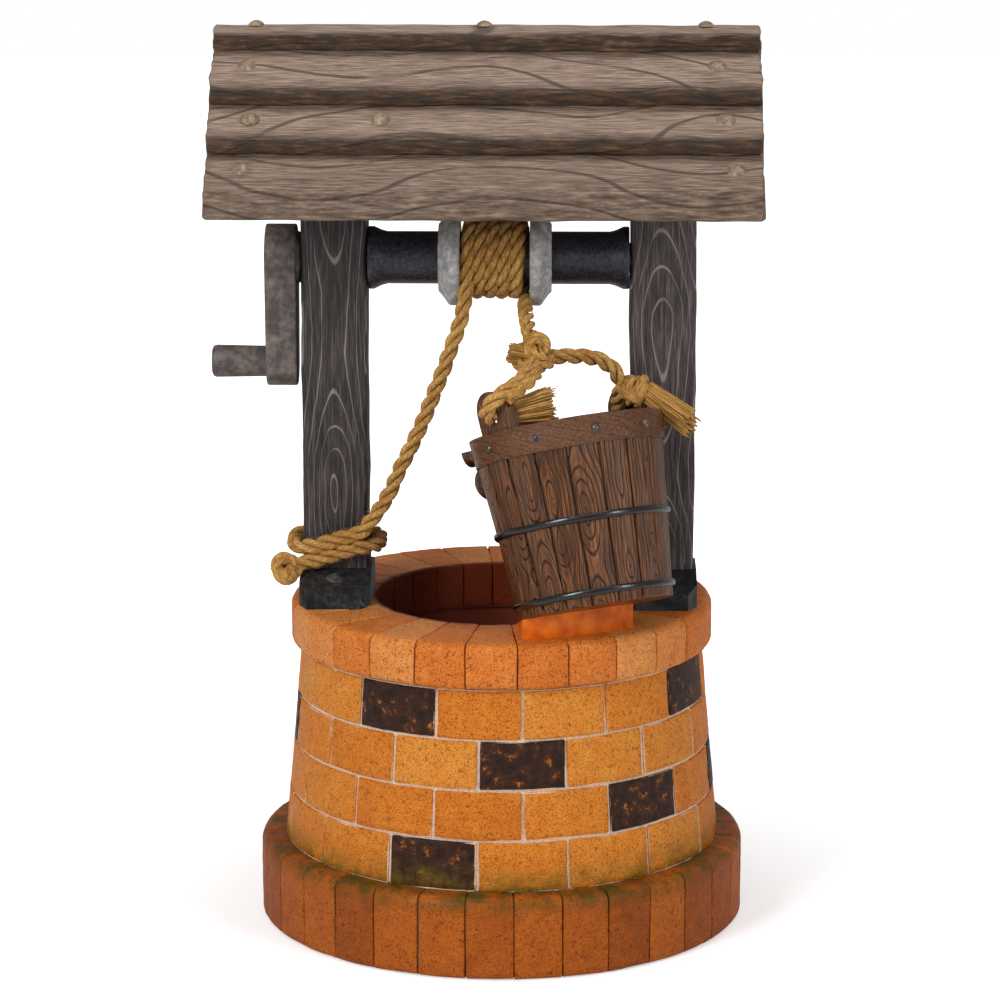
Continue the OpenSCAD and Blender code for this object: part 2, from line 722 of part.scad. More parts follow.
cheek = 1.5;
function shoe_top(y) = coping_top + shoe_toe_h + 0.31 * (shoe_reach - y);
module shoe(side) {
    half = post_w / 2 + cheek;
    front = 14;
    chamfer = 10;
    color("black") translate([frame_x + side * post_out, 0, 0]) difference() {
        intersection() {
            translate([0, 0, coping_top]) linear_extrude(height = 60) polygon([
                [-front, -shoe_reach], [front, -shoe_reach], [half, -shoe_reach + chamfer],
                [half, shoe_reach - chamfer], [front, shoe_reach], [-front, shoe_reach],
                [-half, shoe_reach - chamfer], [-half, -shoe_reach + chamfer]]);
            rotate([90, 0, 90]) translate([0, 0, -half - 1]) linear_extrude(height = 2 * half + 2) polygon([
                [-shoe_reach, coping_top], [shoe_reach, coping_top],
                [shoe_reach, coping_top + shoe_toe_h], [post_d / 2, shoe_top(post_d / 2)],
                [-post_d / 2, shoe_top(post_d / 2)], [-shoe_reach, coping_top + shoe_toe_h]]);
        }
        translate([0, 0, coping_top - 1]) linear_extrude(height = 80) post_plan(0);
        for (face = [-1, 1]) at_stud(face) translate([0, 0, -stud_l]) cylinder(r = stud_shank_r, h = stud_l + 1, $fn = 24);
    }
}
stud_y = 23;
stud_r = 4.8;
stud_shank_r = 1.6;
stud_l = 7;
module at_stud(face) {
    translate([0, face * stud_y, shoe_top(stud_y)]) rotate([-face * atan(0.31), 0, 0]) children();
}
module shoe_left() {
    shoe(-1);
}
module shoe_right() {
    shoe(1);
}
module shoe_studs() {
    color("dimgray") for (side = [-1, 1]) for (face = [-1, 1])
        translate([frame_x + side * post_out, 0, 0]) at_stud(face) {
            dome(stud_r, 1.9, $fn = 32);
            translate([0, 0, -stud_l]) cylinder(r = stud_shank_r, h = stud_l, $fn = 24);
        }
}
module post_screws() {
    color("silver") for (side = [-1, 1]) translate([frame_x + side * post_out, 0, screw_seat]) {
        cylinder(r = screw_r, h = screw_l, $fn = 32);
        difference() {
            translate([0, 0, -4]) cylinder(r = screw_head_r, h = 4, $fn = 32);
            translate([0, 0, -5]) cylinder(r = 2.5, h = 3, $fn = 6);
        }
    }
}

// Roof: boards in the YZ plane of the front slope, number 1 at the ridge
module board_profile(number) {
    out = first_edge + (number - 1) * board_step;
    top = apex_z - first_drop - (number - 1) * board_drop;
    back = number == 1 ? 0 : out - board_step - lap;
    up = (out - back) * tan(board_tilt);
    deep = number == 3 ? eave_h : board_rise;
    nose = number == 3 ? nose_w : 0;
    polygon([[back, top + up], [out - 1, top + tan(board_tilt)], [out, top - 1.2], [out, top - deep],
        [out - nose, top - deep], [out - nose, top + nose * tan(board_tilt) - board_rise],
        [back, top + up - board_rise]]);
}
module roof_board(number, slope) {
    translate([roof_mid - roof_l / 2, 0, 0]) rotate([90, 0, 90]) linear_extrude(height = roof_l)
        mirror([slope < 0 ? 1 : 0, 0]) board_profile(number);
}
module roof_space() {
    for (slope = [-1, 1]) for (number = [1:3])
        roof_board(number, slope);
    for (slope = [-1, 1])
        translate([-big, 0, 0]) rotate([90, 0, 90]) linear_extrude(height = 2 * big)
            mirror([slope < 0 ? 1 : 0, 0]) polygon([[0, apex_z - 1], [first_edge, apex_z - first_drop - 1],
                [eave_out + 1, eave_top], [eave_out + 1, apex_z + 20], [0, apex_z + 20]]);
}
cap_half = 12.5;
cap_t = 5.9;
cap_face = 9.4;
module ridge_cap() {
    edge = apex_z - cap_half * tan(board_tilt);
    color("dimgray") translate([roof_mid - roof_l / 2, 0, 0]) rotate([90, 0, 90])
        linear_extrude(height = roof_l) polygon([[0, apex_z], [cap_half, edge],
            [cap_half, edge + cap_face - 1], [cap_half - 1, edge + cap_face], [0, apex_z + cap_t],
            [-cap_half + 1, edge + cap_face], [-cap_half, edge + cap_face - 1], [-cap_half, edge]]);
}
nail_l = 6;
nail_shank_r = 1.2;
nail_rows = [22.6, 49, 72];
nail_places = [[18.5, roof_l - 23], [21.5, 88.5, roof_l - 19], [19.5, roof_l - 14]];
module board_nails(number, slope, with_head) {
    row = nail_rows[number - 1];
    top = apex_z - first_drop - (number - 1) * board_drop
        + (first_edge + (number - 1) * board_step - row) * tan(board_tilt);
    for (along = nail_places[number - 1])
        translate([roof_mid - roof_l / 2 + along, slope * row, top]) rotate([-slope * board_tilt, 0, 0])
            nail(with_head);
}
module nail(with_head) {
    if (with_head) dome(nail_r, 2.4, $fn = 32);
    translate([0, 0, -nail_l]) cylinder(r = nail_shank_r, h = nail_l + (with_head ? 0.5 : 1), $fn = 24);
}
module drilled_board(number, slope) {
    color([0.36 - 0.03 * number, 0.30 - 0.02 * number, 0.27]) difference() {
        roof_board(number, slope);
        board_nails(number, slope, false);
    }
}
ridge_nails = [22, 140.5, 255.5];
ridge_nail_l = 5;
module roof_nails() {
    color("gray") {
        for (slope = [-1, 1]) for (number = [1:3])
            board_nails(number, slope, true);
        for (along = ridge_nails)
            translate([roof_mid - roof_l / 2 + along, 0, apex_z + cap_t - 0.6]) {
                dome(nail_r - 0.6, 2.6, $fn = 32);
                translate([0, 0, -ridge_nail_l]) cylinder(r = nail_shank_r, h = ridge_nail_l + 0.5, $fn = 24);
            }
    }
}
module drilled_cap() {
    difference() {
        ridge_cap();
        for (along = ridge_nails)
            translate([roof_mid - roof_l / 2 + along, 0, apex_z + cap_t - 0.6]) {
                cylinder(r = nail_r - 0.6, h = 5, $fn = 32);
                translate([0, 0, -ridge_nail_l]) cylinder(r = nail_shank_r, h = 20, $fn = 24);
            }
    }
}
rafter_foot = eave_out - nose_w - clear;
module rafter(side) {
    inner = post_gap / 2;
    x = side < 0 ? frame_x - inner : frame_x + inner - rafter_t;
    color("dimgray") difference() {
        translate([x, 0, 0]) rotate([90, 0, 90]) linear_extrude(height = rafter_t) polygon([
            [0, apex_z], [rafter_foot, eave_top], [rafter_foot, eave_top - eave_h],
            [0, apex_z - 32], [-rafter_foot, eave_top - eave_h], [-rafter_foot, eave_top]]);
        roof_space();
    }
}
module rafter_left() {
    rafter(-1);
}
module rafter_right() {
    rafter(1);
}

// Windlass, turned along X at the height of the axle
module at_axle(x) {
    translate([x, 0, axle_z]) children();
}
arm_gap = 0.5;
arm_boss = 2;
arm_x = frame_x - post_gap / 2 - post_w - arm_gap - arm_boss - arm_t;
axle_in_arm = 12;
module windlass_axle() {
    from = arm_x + arm_t - axle_in_arm;
    to = frame_x + post_gap / 2 + 23;
    color("gray") at_axle(from) rotate([0, 90, 0]) cylinder(r = axle_r, h = to - from, $fn = 64);
}
module windlass_barrel() {
    l = post_gap - 2 * arm_gap;
    collar = 2.6;
    color("darkslategray") at_axle(frame_x - l / 2) difference() {
        turned([[0, 0], [barrel_r + collar, 0], [barrel_r + collar, 3], [barrel_r + 0.8, 7], [barrel_r, 10],
            [barrel_r, l - 10], [barrel_r + 0.8, l - 7], [barrel_r + collar, l - 3], [barrel_r + collar, l], [0, l]]);
        translate([-1, 0, 0]) rotate([0, 90, 0]) cylinder(r = axle_r + seat, h = l + 2, $fn = 64);
    }
}
module drum_flange(x, way) {
    color("silver") at_axle(x) mirror([way < 0 ? 1 : 0, 0, 0]) difference() {
        turned([[0, 0], [flange_r - 2, 0], [flange_r - 0.5, 0.8], [flange_r, 2.4], [flange_r, 5.2],
            [flange_r - 1.2, 6.6], [barrel_r + 4, flange_t], [0, flange_t]]);
        translate([-1, 0, 0]) rotate([0, 90, 0]) cylinder(r = barrel_r + seat, h = flange_t + 2);
    }
}
module drum_flange_left() {
    drum_flange(flange_left_face, -1);
}
module drum_flange_right() {
    drum_flange(flange_right_face, 1);
}
module crank_arm() {
    lean = asin((arm_hub_r - arm_tip_r) / crank_throw);
    color("dimgray") at_axle(arm_x) difference() {
        union() {
            rotate([90, 0, 90]) linear_extrude(height = arm_t) union() {
                circle(r = arm_hub_r);
                translate([0, -crank_throw]) circle(r = arm_tip_r);
                polygon([[arm_hub_r * cos(lean), -arm_hub_r * sin(lean)],
                    [arm_tip_r * cos(lean), -crank_throw - arm_tip_r * sin(lean)],
                    [-arm_tip_r * cos(lean), -crank_throw - arm_tip_r * sin(lean)],
                    [-arm_hub_r * cos(lean), -arm_hub_r * sin(lean)]]);
            }
            rotate([0, 90, 0]) cylinder(r = arm_hub_r - 4, h = arm_t + arm_boss);
        }
        translate([arm_t - axle_in_arm, 0, 0]) rotate([0, 90, 0])
            cylinder(r = axle_r + seat, h = axle_in_arm + arm_boss + 1, $fn = 64);
        translate([-1, 0, -crank_throw]) rotate([0, 90, 0]) cylinder(r = tenon_r + seat, h = tenon_l + 1.5, $fn = 48);
    }
}
tenon_r = 4;
tenon_l = 9;
module crank_grip() {
    color("dimgray") at_axle(arm_x) translate([0, 0, -crank_throw]) union() {
        translate([-grip_l, 0, 0]) turned([[0, 0], [grip_r - 2, 0], [grip_r - 0.6, 0.7], [grip_r, 2.2],
            [grip_r - 0.3, grip_l * 0.6], [grip_r - 0.5, grip_l], [0, grip_l]]);
        translate([-1, 0, 0]) rotate([0, 90, 0]) cylinder(r = tenon_r, h = tenon_l + 1, $fn = 48);
    }
}

// Ropes
module rope_winding() {
    color("goldenrod") rope(winding_route, 6);
}
module rope_to_post() {
    color("goldenrod") rope(post_route, 8);
}
module rope_hitch() {
    color("goldenrod") rope(hitch_route, 6);
}
module hitch_stopper() {
    color("darkgoldenrod") translate(stopper_at) sphere(r = small_knot_r, $fn = 32);
}
module rope_to_bucket() {
    color("goldenrod") rope(bucket_route, 8);
}
module bucket_knot() {
    color("darkgoldenrod") union() {
        translate(knot_at) sphere(r = knot_r, $fn = 32);
        translate(knot_at + [-7, -3, -6]) sphere(r = 6.5, $fn = 32);
    }
}
module bucket_bail() {
    color("goldenrod") rope(bail_route, 8);
}
module bail_knot_left() {
    middle = at_ear(180 + ear_turn, -10.8);
    way = unit(mouth(-2, -17, 10.5) - middle);
    swell = [[-7, 3.4], [-5, 5.8], [-2, 7.3], [1, 7.4], [4, 6.2], [6.5, 5.3], [12, 5.8], [19, 7.1], [26, 8.5]];
    color("darkgoldenrod") rope([for (s = swell) middle + s[0] * way], 12, [for (s = swell) s[1]]);
}
module bail_knot_right() {
    color("darkgoldenrod") rope([for (p = knot_swell) mouth(p[0], p[1], p[2])], 10, [for (p = knot_swell) p[3]]);
}

plinth_course();
brick_wall();
coping_ring();
reservoir_tub();
cable_grommet();
pump_body();
pump_intake_cover();
pump_impeller();
pump_flow_dial();
pump_suction_feet();
riser_pipe();
bucket_wedge();
bucket_staves();
bucket_bottom();
bucket_top_band();
bucket_middle_hoop();
bucket_lower_hoop();
bucket_ear_left();
bucket_ear_right();
bucket_rivets();
pouring_spout();
post_left();
post_right();
shoe_left();
shoe_right();
shoe_studs();
post_screws();
rafter_left();
rafter_right();
drilled_board(1, -1);  // roof_board_front_1
drilled_board(2, -1);  // roof_board_front_2
drilled_board(3, -1);  // roof_board_front_3
drilled_board(1, 1);  // roof_board_back_1
drilled_board(2, 1);  // roof_board_back_2
drilled_board(3, 1);  // roof_board_back_3
drilled_cap();  // ridge_cap
roof_nails();
windlass_axle();
windlass_barrel();
drum_flange_left();
drum_flange_right();
crank_arm();
crank_grip();
rope_winding();
rope_to_post();
rope_hitch();
hitch_stopper();
rope_to_bucket();
bucket_knot();
bucket_bail();
bail_knot_left();
bail_knot_right();
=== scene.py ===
# %% [markdown]
# # A tabletop wishing well fountain
# The real thing is a painted casting: a round brick well with two posts, a windlass, a roof of lapped
# boards, and a bucket that hangs from a jute rope. The solids come from the CAD model as a fixed frame.
# Here they get the looks of the real finishes, and the soft or carved pieces are modelled afresh in the
# same places.

import math
import random

import bmesh
import bpy
from mathutils import Matrix, Vector, noise


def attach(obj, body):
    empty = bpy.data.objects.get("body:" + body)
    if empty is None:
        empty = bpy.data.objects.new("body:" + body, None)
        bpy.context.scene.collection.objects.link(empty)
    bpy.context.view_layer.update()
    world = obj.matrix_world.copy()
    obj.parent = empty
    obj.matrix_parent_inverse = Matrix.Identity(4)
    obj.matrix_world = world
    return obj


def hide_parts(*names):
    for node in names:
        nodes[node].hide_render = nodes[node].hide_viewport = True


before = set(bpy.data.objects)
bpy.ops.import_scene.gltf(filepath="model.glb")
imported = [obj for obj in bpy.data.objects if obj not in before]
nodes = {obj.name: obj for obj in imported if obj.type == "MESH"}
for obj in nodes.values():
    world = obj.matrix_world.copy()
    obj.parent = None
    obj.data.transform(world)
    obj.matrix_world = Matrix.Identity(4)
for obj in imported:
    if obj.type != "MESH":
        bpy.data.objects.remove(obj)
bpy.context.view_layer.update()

# %% [markdown]
# ## Camera
# A product photograph is taken from a distance with a long lens, so that upright posts stay upright. The
# lens and the place were worked out from the circles of the plinth and coping and the corners of the
# posts and roof: about 2.2 m away, 12.8 degrees above level.

# %% Camera
camera = bpy.data.objects.new("camera", bpy.data.cameras.new("camera"))
bpy.context.scene.collection.objects.link(camera)
camera.data.sensor_width = 36
camera.data.lens = 148.74
camera.location = (0.0388, -2.1462, 0.7103)
camera.rotation_euler = (math.pi / 2 - 0.2226, 0, 0.0185)
bpy.context.scene.camera = camera
print("Camera at", tuple(camera.location), "with a lens of", camera.data.lens, "mm")

# %% [markdown]
# ## Routes of the rope
# One length of three-strand jute does all the work: it is hitched round the left post, rises to the
# drum, winds round it, and comes down to the bucket. A second short length is the bucket's bail. The
# routes below repeat the ones in the CAD source, in millimetres.

# %% Drum turns
COPING_TOP, FRAME_X, AXLE_Z = 173.3, -1.5, 355.1
ROPE = 6.6
PITCH, WIND_R, TURNED = ROPE - 0.2, (13.9 + 0.3 + ROPE / 2) / math.cos(math.radians(7.5)), 249 + 360 * 4


def drum_point(turn):
    angle = math.radians(turn)
    return Vector((FRAME_X - 16.2 + PITCH * turn / 360, -WIND_R * math.cos(angle), AXLE_Z + WIND_R * math.sin(angle)))


def drum_way(turn):
    angle = math.radians(turn)
    return Vector((PITCH / math.tau, WIND_R * math.sin(angle), WIND_R * math.cos(angle))).normalized()


wind_steps = math.ceil(TURNED / 15)
wind_first = drum_point(0) - ROPE * drum_way(0)
wind_last = drum_point(TURNED) + ROPE * drum_way(TURNED)
winding = [wind_first] + [drum_point(TURNED * i / wind_steps) for i in range(wind_steps + 1)] + [wind_last]
print("Turns on the drum:", round(TURNED / 360, 2), "from", tuple(round(x, 1) for x in winding[0]))

# %% Hitch round the left post
HITCH_A, HITCH_B, ROUND, FALL = 22.5, 17.5, 10, 7.6
HITCH_X, HITCH_Z = FRAME_X - 86.3, COPING_TOP + 36.8
STOPPER = Vector((-114, -22.5, COPING_TOP + 19.7))
front, side, arc = 2 * (HITCH_A - ROUND), 2 * (HITCH_B - ROUND), math.pi / 2 * ROUND
once = 2 * (front + side) + 4 * arc


def hitch_point(s):
    loop, q = divmod(s, once)
    x, y, turn, left = front / 2, -HITCH_B, 270, q
    for straight, centre, heading in ((front, (-1, -1), 270), (side, (-1, 1), 180), (front, (1, 1), 90), (side, (1, -1), 0)):
        across = Vector((math.cos(math.radians(heading)), math.sin(math.radians(heading))))
        along = Vector((across.y, -across.x))
        middle = Vector((centre[0] * front / 2, centre[1] * side / 2))
        if left < straight:
            place = middle - along * (straight - left) + across * ROUND
            break
        left -= straight
        if left < arc:
            angle = math.radians(heading - 90 * left / arc)
            place = middle + Vector((math.cos(angle), math.sin(angle))) * ROUND
            break
        left -= arc
    return Vector((HITCH_X + place.x, place.y, HITCH_Z - FALL * (loop + min(q / front, 1))))


hitch_length = once + front
hitch_steps = math.ceil(hitch_length / once * 24)
hitch_lead = ROPE * Vector((1, -0.2, 1)).normalized()
hitch_tail = hitch_point(hitch_length - 0.01)
hitch = ([hitch_point(0) + hitch_lead] + [hitch_point(hitch_length * i / hitch_steps) for i in range(hitch_steps)]
         + [hitch_tail, hitch_tail + 9 * (STOPPER - hitch_tail).normalized()])
print("Hitch: from", tuple(round(x, 1) for x in hitch[0]), "to", tuple(round(x, 1) for x in hitch[-1]))

# %% Bucket places and the free stretches
LEFT, BACK = math.radians(10.24), math.radians(16.78)
BUCKET_AT = Vector((50.4, -84, COPING_TOP + 13))
BUCKET_U = Vector((math.cos(LEFT), 0, math.sin(LEFT)))
BUCKET_V = Vector((math.sin(LEFT) * math.sin(BACK), math.cos(BACK), -math.cos(LEFT) * math.sin(BACK)))
BUCKET_A = Vector((-math.sin(LEFT) * math.cos(BACK), math.sin(BACK), math.cos(LEFT) * math.cos(BACK)))
BUCKET_H, FOOT_R, TOP_R, STAVE_T = 95.3, 39.7, 49.5, 5


def stave_r(up):
    return FOOT_R + (TOP_R - FOOT_R) * up / BUCKET_H


def mouth(x, y, up):
    return BUCKET_AT + x * BUCKET_U + y * BUCKET_V + (BUCKET_H + up) * BUCKET_A


def at_ear(turn, out):
    r = stave_r(BUCKET_H + 8.5) - STAVE_T / 2 + out
    return mouth(r * math.cos(math.radians(turn)), r * math.sin(math.radians(turn)), 8.5)


def way_on(a, b, p):
    return Vector((a.x + (b.x - a.x) * p[0] / 100, p[1], a.z + (b.z - a.z) * p[2] / 100))


to_post = ([wind_first, wind_first - ROPE * drum_way(0)]
           + [wind_first + Vector(p) for p in ((-0.7, -2.3, -11.3), (-1.6, -4.9, -16.5), (-3, -6.3, -23))]
           + [way_on(wind_first, hitch[0], p) for p in ((13.5, -24.8, 26), (21.5, -25, 35), (31.5, -25.5, 45),
              (42, -25.5, 55.5), (54, -25, 66), (67, -24.5, 76.5), (78, -23, 86.5))]
           + [hitch[0] + hitch_lead, hitch[0]])
KNOT = mouth(-9.5, -17, 37.5)
drum_exit = wind_last + ROPE * drum_way(TURNED)
to_bucket = ([wind_last, drum_exit] + [way_on(drum_exit, KNOT, p) for p in
             ((-12, -14, 6), (-6, -24, 20), (14, -34, 36), (48, -45, 58), (80, -54, 80))] + [KNOT])
bail = ([at_ear(226, out) for out in (-10.3, -5, 0, 4.5)]
        + [mouth(*p) for p in ((-37, -41.5, 10.5), (-33, -45, 14.5), (-26.5, -44, 18.5), (-18, -36, 23.5),
           (-11.5, -27, 30.5), (-9.5, -17, 36), (0.5, -12, 35.5), (12, -7, 34.5), (22.5, -0.5, 31.5),
           (28.5, 4, 26.5), (31, 8, 20), (29.5, 17, 13))]
        + [at_ear(46, out) for out in (-8, -3, 1, 5)])
whole_rope = hitch[::-1] + to_post[::-1][2:] + winding[1:] + to_bucket[1:]
print("Points on the long rope:", len(whole_rope), "and on the bail:", len(bail))

# %% [markdown]
# ## From points to a smooth line
# A spline goes through the points, and is cut into equal steps, because the strands of a rope turn
# evenly along it. A frame is carried along without twisting, so that only the rope's own lay turns it.

# %% Smooth line and its frames
STEP = 0.9


def smooth_line(points, step=STEP):
    ends = [points[0] * 2 - points[1]] + list(points) + [points[-1] * 2 - points[-2]]
    dense = []
    for a, b, c, d in zip(ends, ends[1:], ends[2:], ends[3:]):
        t1 = max((b - a).length, 1e-6) ** 0.5
        t2 = t1 + max((c - b).length, 1e-6) ** 0.5
        t3 = t2 + max((d - c).length, 1e-6) ** 0.5
        for k in range(16):
            t = t1 + (t2 - t1) * k / 16
            ab, bc, cd = a.lerp(b, t / t1), b.lerp(c, (t - t1) / (t2 - t1)), c.lerp(d, (t - t2) / (t3 - t2))
            dense.append(ab.lerp(bc, t / t2).lerp(bc.lerp(cd, (t - t1) / (t3 - t1)), (t - t1) / (t2 - t1)))
    dense.append(points[-1].copy())
    total = sum((b - a).length for a, b in zip(dense, dense[1:]))
    count, line, gone, i = max(2, round(total / step)), [dense[0]], 0.0, 0
    for k in range(1, count):
        want = total * k / count
        while gone + (dense[i + 1] - dense[i]).length < want:
            gone += (dense[i + 1] - dense[i]).length
            i += 1
        line.append(dense[i].lerp(dense[i + 1], (want - gone) / (dense[i + 1] - dense[i]).length))
    return line + [dense[-1]]


def carried_frames(line):
    ways = [(line[min(i + 1, len(line) - 1)] - line[max(i - 1, 0)]).normalized() for i in range(len(line))]
    out, frames = ways[0].orthogonal().normalized(), []
    for place, way in zip(line, ways):
        out = (out - way * out.dot(way)).normalized()
        frames.append((place, out, way.cross(out), way))
    return frames


rope_line = smooth_line(whole_rope)
bail_line = smooth_line(bail)

# %% [markdown]
# ## Joining and finishing pieces
# Each piece is drawn in millimetres in a bmesh. When it is done it becomes an object in metres that sits
# at the origin, gets its finish, and rides on the body that carries it.


def piece(name, bm, material, body="well", replaces=(), angle=35, recalc=True):
    if recalc:
        bmesh.ops.recalc_face_normals(bm, faces=bm.faces)
    bmesh.ops.scale(bm, vec=(0.001, 0.001, 0.001), verts=bm.verts)
    mesh = bpy.data.meshes.new(name)
    bm.to_mesh(mesh)
    bm.free()
    mesh.shade_smooth()
    mesh.set_sharp_from_angle(angle=math.radians(angle))
    mesh.materials.append(material)
    obj = bpy.data.objects.new(name, mesh)
    bpy.context.scene.collection.objects.link(obj)
    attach(obj, body)
    if replaces:
        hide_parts(*replaces)
    print(name, "-", len(mesh.polygons), "faces")
    return obj


def add_copy(bm, other):
    """Adds another bmesh's shape to this one and gives the vertices that came."""
    carrier = bpy.data.meshes.new("carrier")
    other.to_mesh(carrier)
    before = len(bm.verts)
    bm.from_mesh(carrier)
    bpy.data.meshes.remove(carrier)
    bm.verts.ensure_lookup_table()
    return bm.verts[before:]


# %% [markdown]
# ## Materials in nodes
# One function turns an sRGB hex colour to linear light. One adds a node with its settings and links, so
# that a material reads like a recipe. Patterns read Object coordinates, in metres, or an attribute that
# a piece carries, and every scale comes from a size in millimetres.

# %% Colour, node and material helpers
def paint(code):
    parts = [int(code[i:i + 2], 16) / 255 for i in (1, 3, 5)]
    return tuple(c / 12.92 if c <= 0.04045 else ((c + 0.055) / 1.055) ** 2.4 for c in parts) + (1,)


def add(tree, kind, into=None, stops=None, **settings):
    made = tree.nodes.new("ShaderNode" + kind)
    for key, value in settings.items():
        setattr(made, key, value)
    if stops:
        while len(made.color_ramp.elements) < len(stops):
            made.color_ramp.elements.new(0.5)
        for element, (place, code) in zip(made.color_ramp.elements, stops):
            element.position, element.color = place, paint(code)
    for socket, value in (into or {}).items():
        if isinstance(value, bpy.types.NodeSocket):
            tree.links.new(value, made.inputs[socket])
        else:
            made.inputs[socket].default_value = value
    return made


def new_finish(name, **constants):
    material = bpy.data.materials.new(name)
    material.use_nodes = True
    shader = material.node_tree.nodes["Principled BSDF"]
    for socket, value in constants.items():
        shader.inputs[socket.replace("_", " ")].default_value = value
    return material, material.node_tree, shader


def per_mm(size):
    """The scale of a noise whose cells are this many millimetres, on coordinates in metres."""
    return 1000 / size


# %% [markdown]
# ## Jute rope
# Jute is a coarse golden bast fibre. Three strands are twisted one way, and their yarns the other way, so
# the fibres on the outside run nearly along the rope. Hairs stand out of it everywhere. The mesh is a
# straight twisted bar with three lobes, made by one spin that also climbs, and then laid along the line.
# It remembers its straight shape in an attribute, and the fibre pattern is drawn on that.

# %% Jute finish
jute, tree, shader = new_finish("golden_jute_fibre", Roughness=0.9, Sheen_Weight=0.35, Sheen_Roughness=0.5)
shader.inputs["Sheen Tint"].default_value = paint("#E8C88A")
lay = add(tree, "Attribute", attribute_name="lay").outputs["Vector"]
# fibres 0.5 mm wide and about 8 mm long along the rope
stretched = add(tree, "Mapping", {"Vector": lay, "Scale": (1, 1, 0.07)}).outputs["Vector"]
fibres = add(tree, "TexNoise", {"Vector": stretched, "Scale": per_mm(0.7), "Detail": 4, "Roughness": 0.65}).outputs["Fac"]
patches = add(tree, "TexNoise", {"Vector": lay, "Scale": per_mm(14), "Detail": 2}).outputs["Fac"]
fibre_colour = add(tree, "ValToRGB", {"Fac": fibres}, stops=[(0.26, "#7E5A22"), (0.42, "#B48440"), (0.56, "#D6AC66"), (0.72, "#F4DCA8")]).outputs["Color"]
patch_colour = add(tree, "ValToRGB", {"Fac": patches}, stops=[(0.3, "#D9B97E"), (0.7, "#FFFAE8")]).outputs["Color"]
mixed = add(tree, "Mix", {0: 0.75, 6: fibre_colour, 7: patch_colour}, data_type="RGBA", blend_type="MULTIPLY").outputs[2]
# painted shade: points deep in the grooves between strands carry a low value and are darkened here
depth = add(tree, "Attribute", attribute_name="groove").outputs["Fac"]
groove = add(tree, "ValToRGB", {"Fac": depth}, stops=[(0.0, "#94703C"), (0.45, "#FFFFFF")]).outputs["Color"]
tree.links.new(add(tree, "Mix", {0: 0.85, 6: mixed, 7: groove}, data_type="RGBA", blend_type="MULTIPLY").outputs[2], shader.inputs["Base Color"])
tree.links.new(add(tree, "Bump", {"Height": fibres, "Strength": 0.9, "Distance": 0.0006}).outputs["Normal"], shader.inputs["Normal"])
print("Finish:", jute.name)

# %% Rope maker
STRAND_LAY = 27


def lobe(angle):
    """How far a three-strand rope of radius 1 reaches in this direction."""
    off = (angle % (math.tau / 3)) - math.pi / 3
    return 0.536 * math.cos(off) + math.sqrt(max(0.464 ** 2 - (0.536 * math.sin(off)) ** 2, 0.0009))


def straight_rope(steps, radius, start, sides=24):
    """A straight twisted bar of so many steps, with its own place stored in two attributes."""
    bar = bmesh.new()
    straight = bar.verts.layers.float_vector.new("lay")
    groove = bar.verts.layers.float.new("groove")
    ring = bmesh.ops.create_circle(bar, segments=sides, radius=1)["verts"]
    first_turn = math.tau * start / STRAND_LAY
    for v in ring:
        angle = math.atan2(v.co.y, v.co.x)
        reach = lobe(angle)
        # painted shade: the less the lobe reaches out here, the darker the rope is painted
        v[groove] = (reach - 0.3) / 0.7
        v.co = Matrix.Rotation(first_turn, 3, "Z") @ (v.co * reach * radius)
    bmesh.ops.contextual_create(bar, geom=[e for e in bar.edges])
    cap = bar.faces[:]
    geom = ring + [e for e in bar.edges]
    bmesh.ops.spin(bar, geom=geom, cent=(0, 0, 0), axis=(0, 0, 1), dvec=(0, 0, STEP), angle=math.tau * STEP * steps / STRAND_LAY,
                   steps=steps, use_merge=False, use_duplicate=False)
    top = [e for e in bar.edges if len(e.link_faces) == 1 and e.verts[0].co.z > STEP * (steps - 0.5)]
    bmesh.ops.contextual_create(bar, geom=top)
    for v in bar.verts:
        v[straight] = (v.co + Vector((0, 0, start))) * 0.001
        v.co.xy *= 1 + 0.05 * noise.noise(Vector((v.co.x * 0.1, v.co.y * 0.1, (v.co.z + start) / 9)))
    return bar


def add_hairs(bar, steps, radius, per_step, start, chance):
    """Loose hairs: thin three-sided spikes that lean along the rope."""
    straight, groove = bar.verts.layers.float_vector["lay"], bar.verts.layers.float["groove"]
    tuft = bmesh.new()
    for _ in range(int(steps * per_step)):
        angle, place = chance.uniform(0, math.tau), chance.uniform(0.5, steps * STEP - 0.5)
        out = Vector((math.cos(angle), math.sin(angle), 0))
        around = Vector((-out.y, out.x, 0))
        way = (out * chance.uniform(0.25, 0.8) + around * chance.uniform(-0.5, 0.5) + Vector((0, 0, chance.choice((-1, 1)) * chance.uniform(0.3, 1)))).normalized()
        size = min(chance.uniform(1.2, 5.0), 1.7 / max(way.dot(out), 0.1))
        matrix = Matrix.Translation(out * radius * 0.82 + Vector((0, 0, place)) + way * size / 2) @ way.to_track_quat("Z", "Y").to_matrix().to_4x4()
        bmesh.ops.create_cone(tuft, cap_ends=True, segments=3, radius1=0.08, radius2=0.03, depth=size, matrix=matrix)
    new = add_copy(bar, tuft)
    tuft.free()
    for v in new:
        v[straight] = (v.co + Vector((0, 0, start))) * 0.001
        v[groove] = 1.0
        v.co.z = min(max(v.co.z, 0.0), steps * STEP)


def lay_rope(line, radius=ROPE * 0.64, start=0.0, hairs=5, seed=1, sides=24):
    """A rope laid along a line of equal steps."""
    steps = len(line) - 1
    bar = straight_rope(steps, radius, start, sides)
    if hairs:
        add_hairs(bar, steps, radius, hairs, start, random.Random(seed))
    frames = carried_frames(line)
    for v in bar.verts:
        at = min(max(v.co.z / STEP, 0.0), steps - 1e-6)
        i = int(at)
        a, b, f = frames[i], frames[i + 1], at - i
        v.co = a[0].lerp(b[0], f) + a[1].lerp(b[1], f) * v.co.x + a[2].lerp(b[2], f) * v.co.y
    return bar


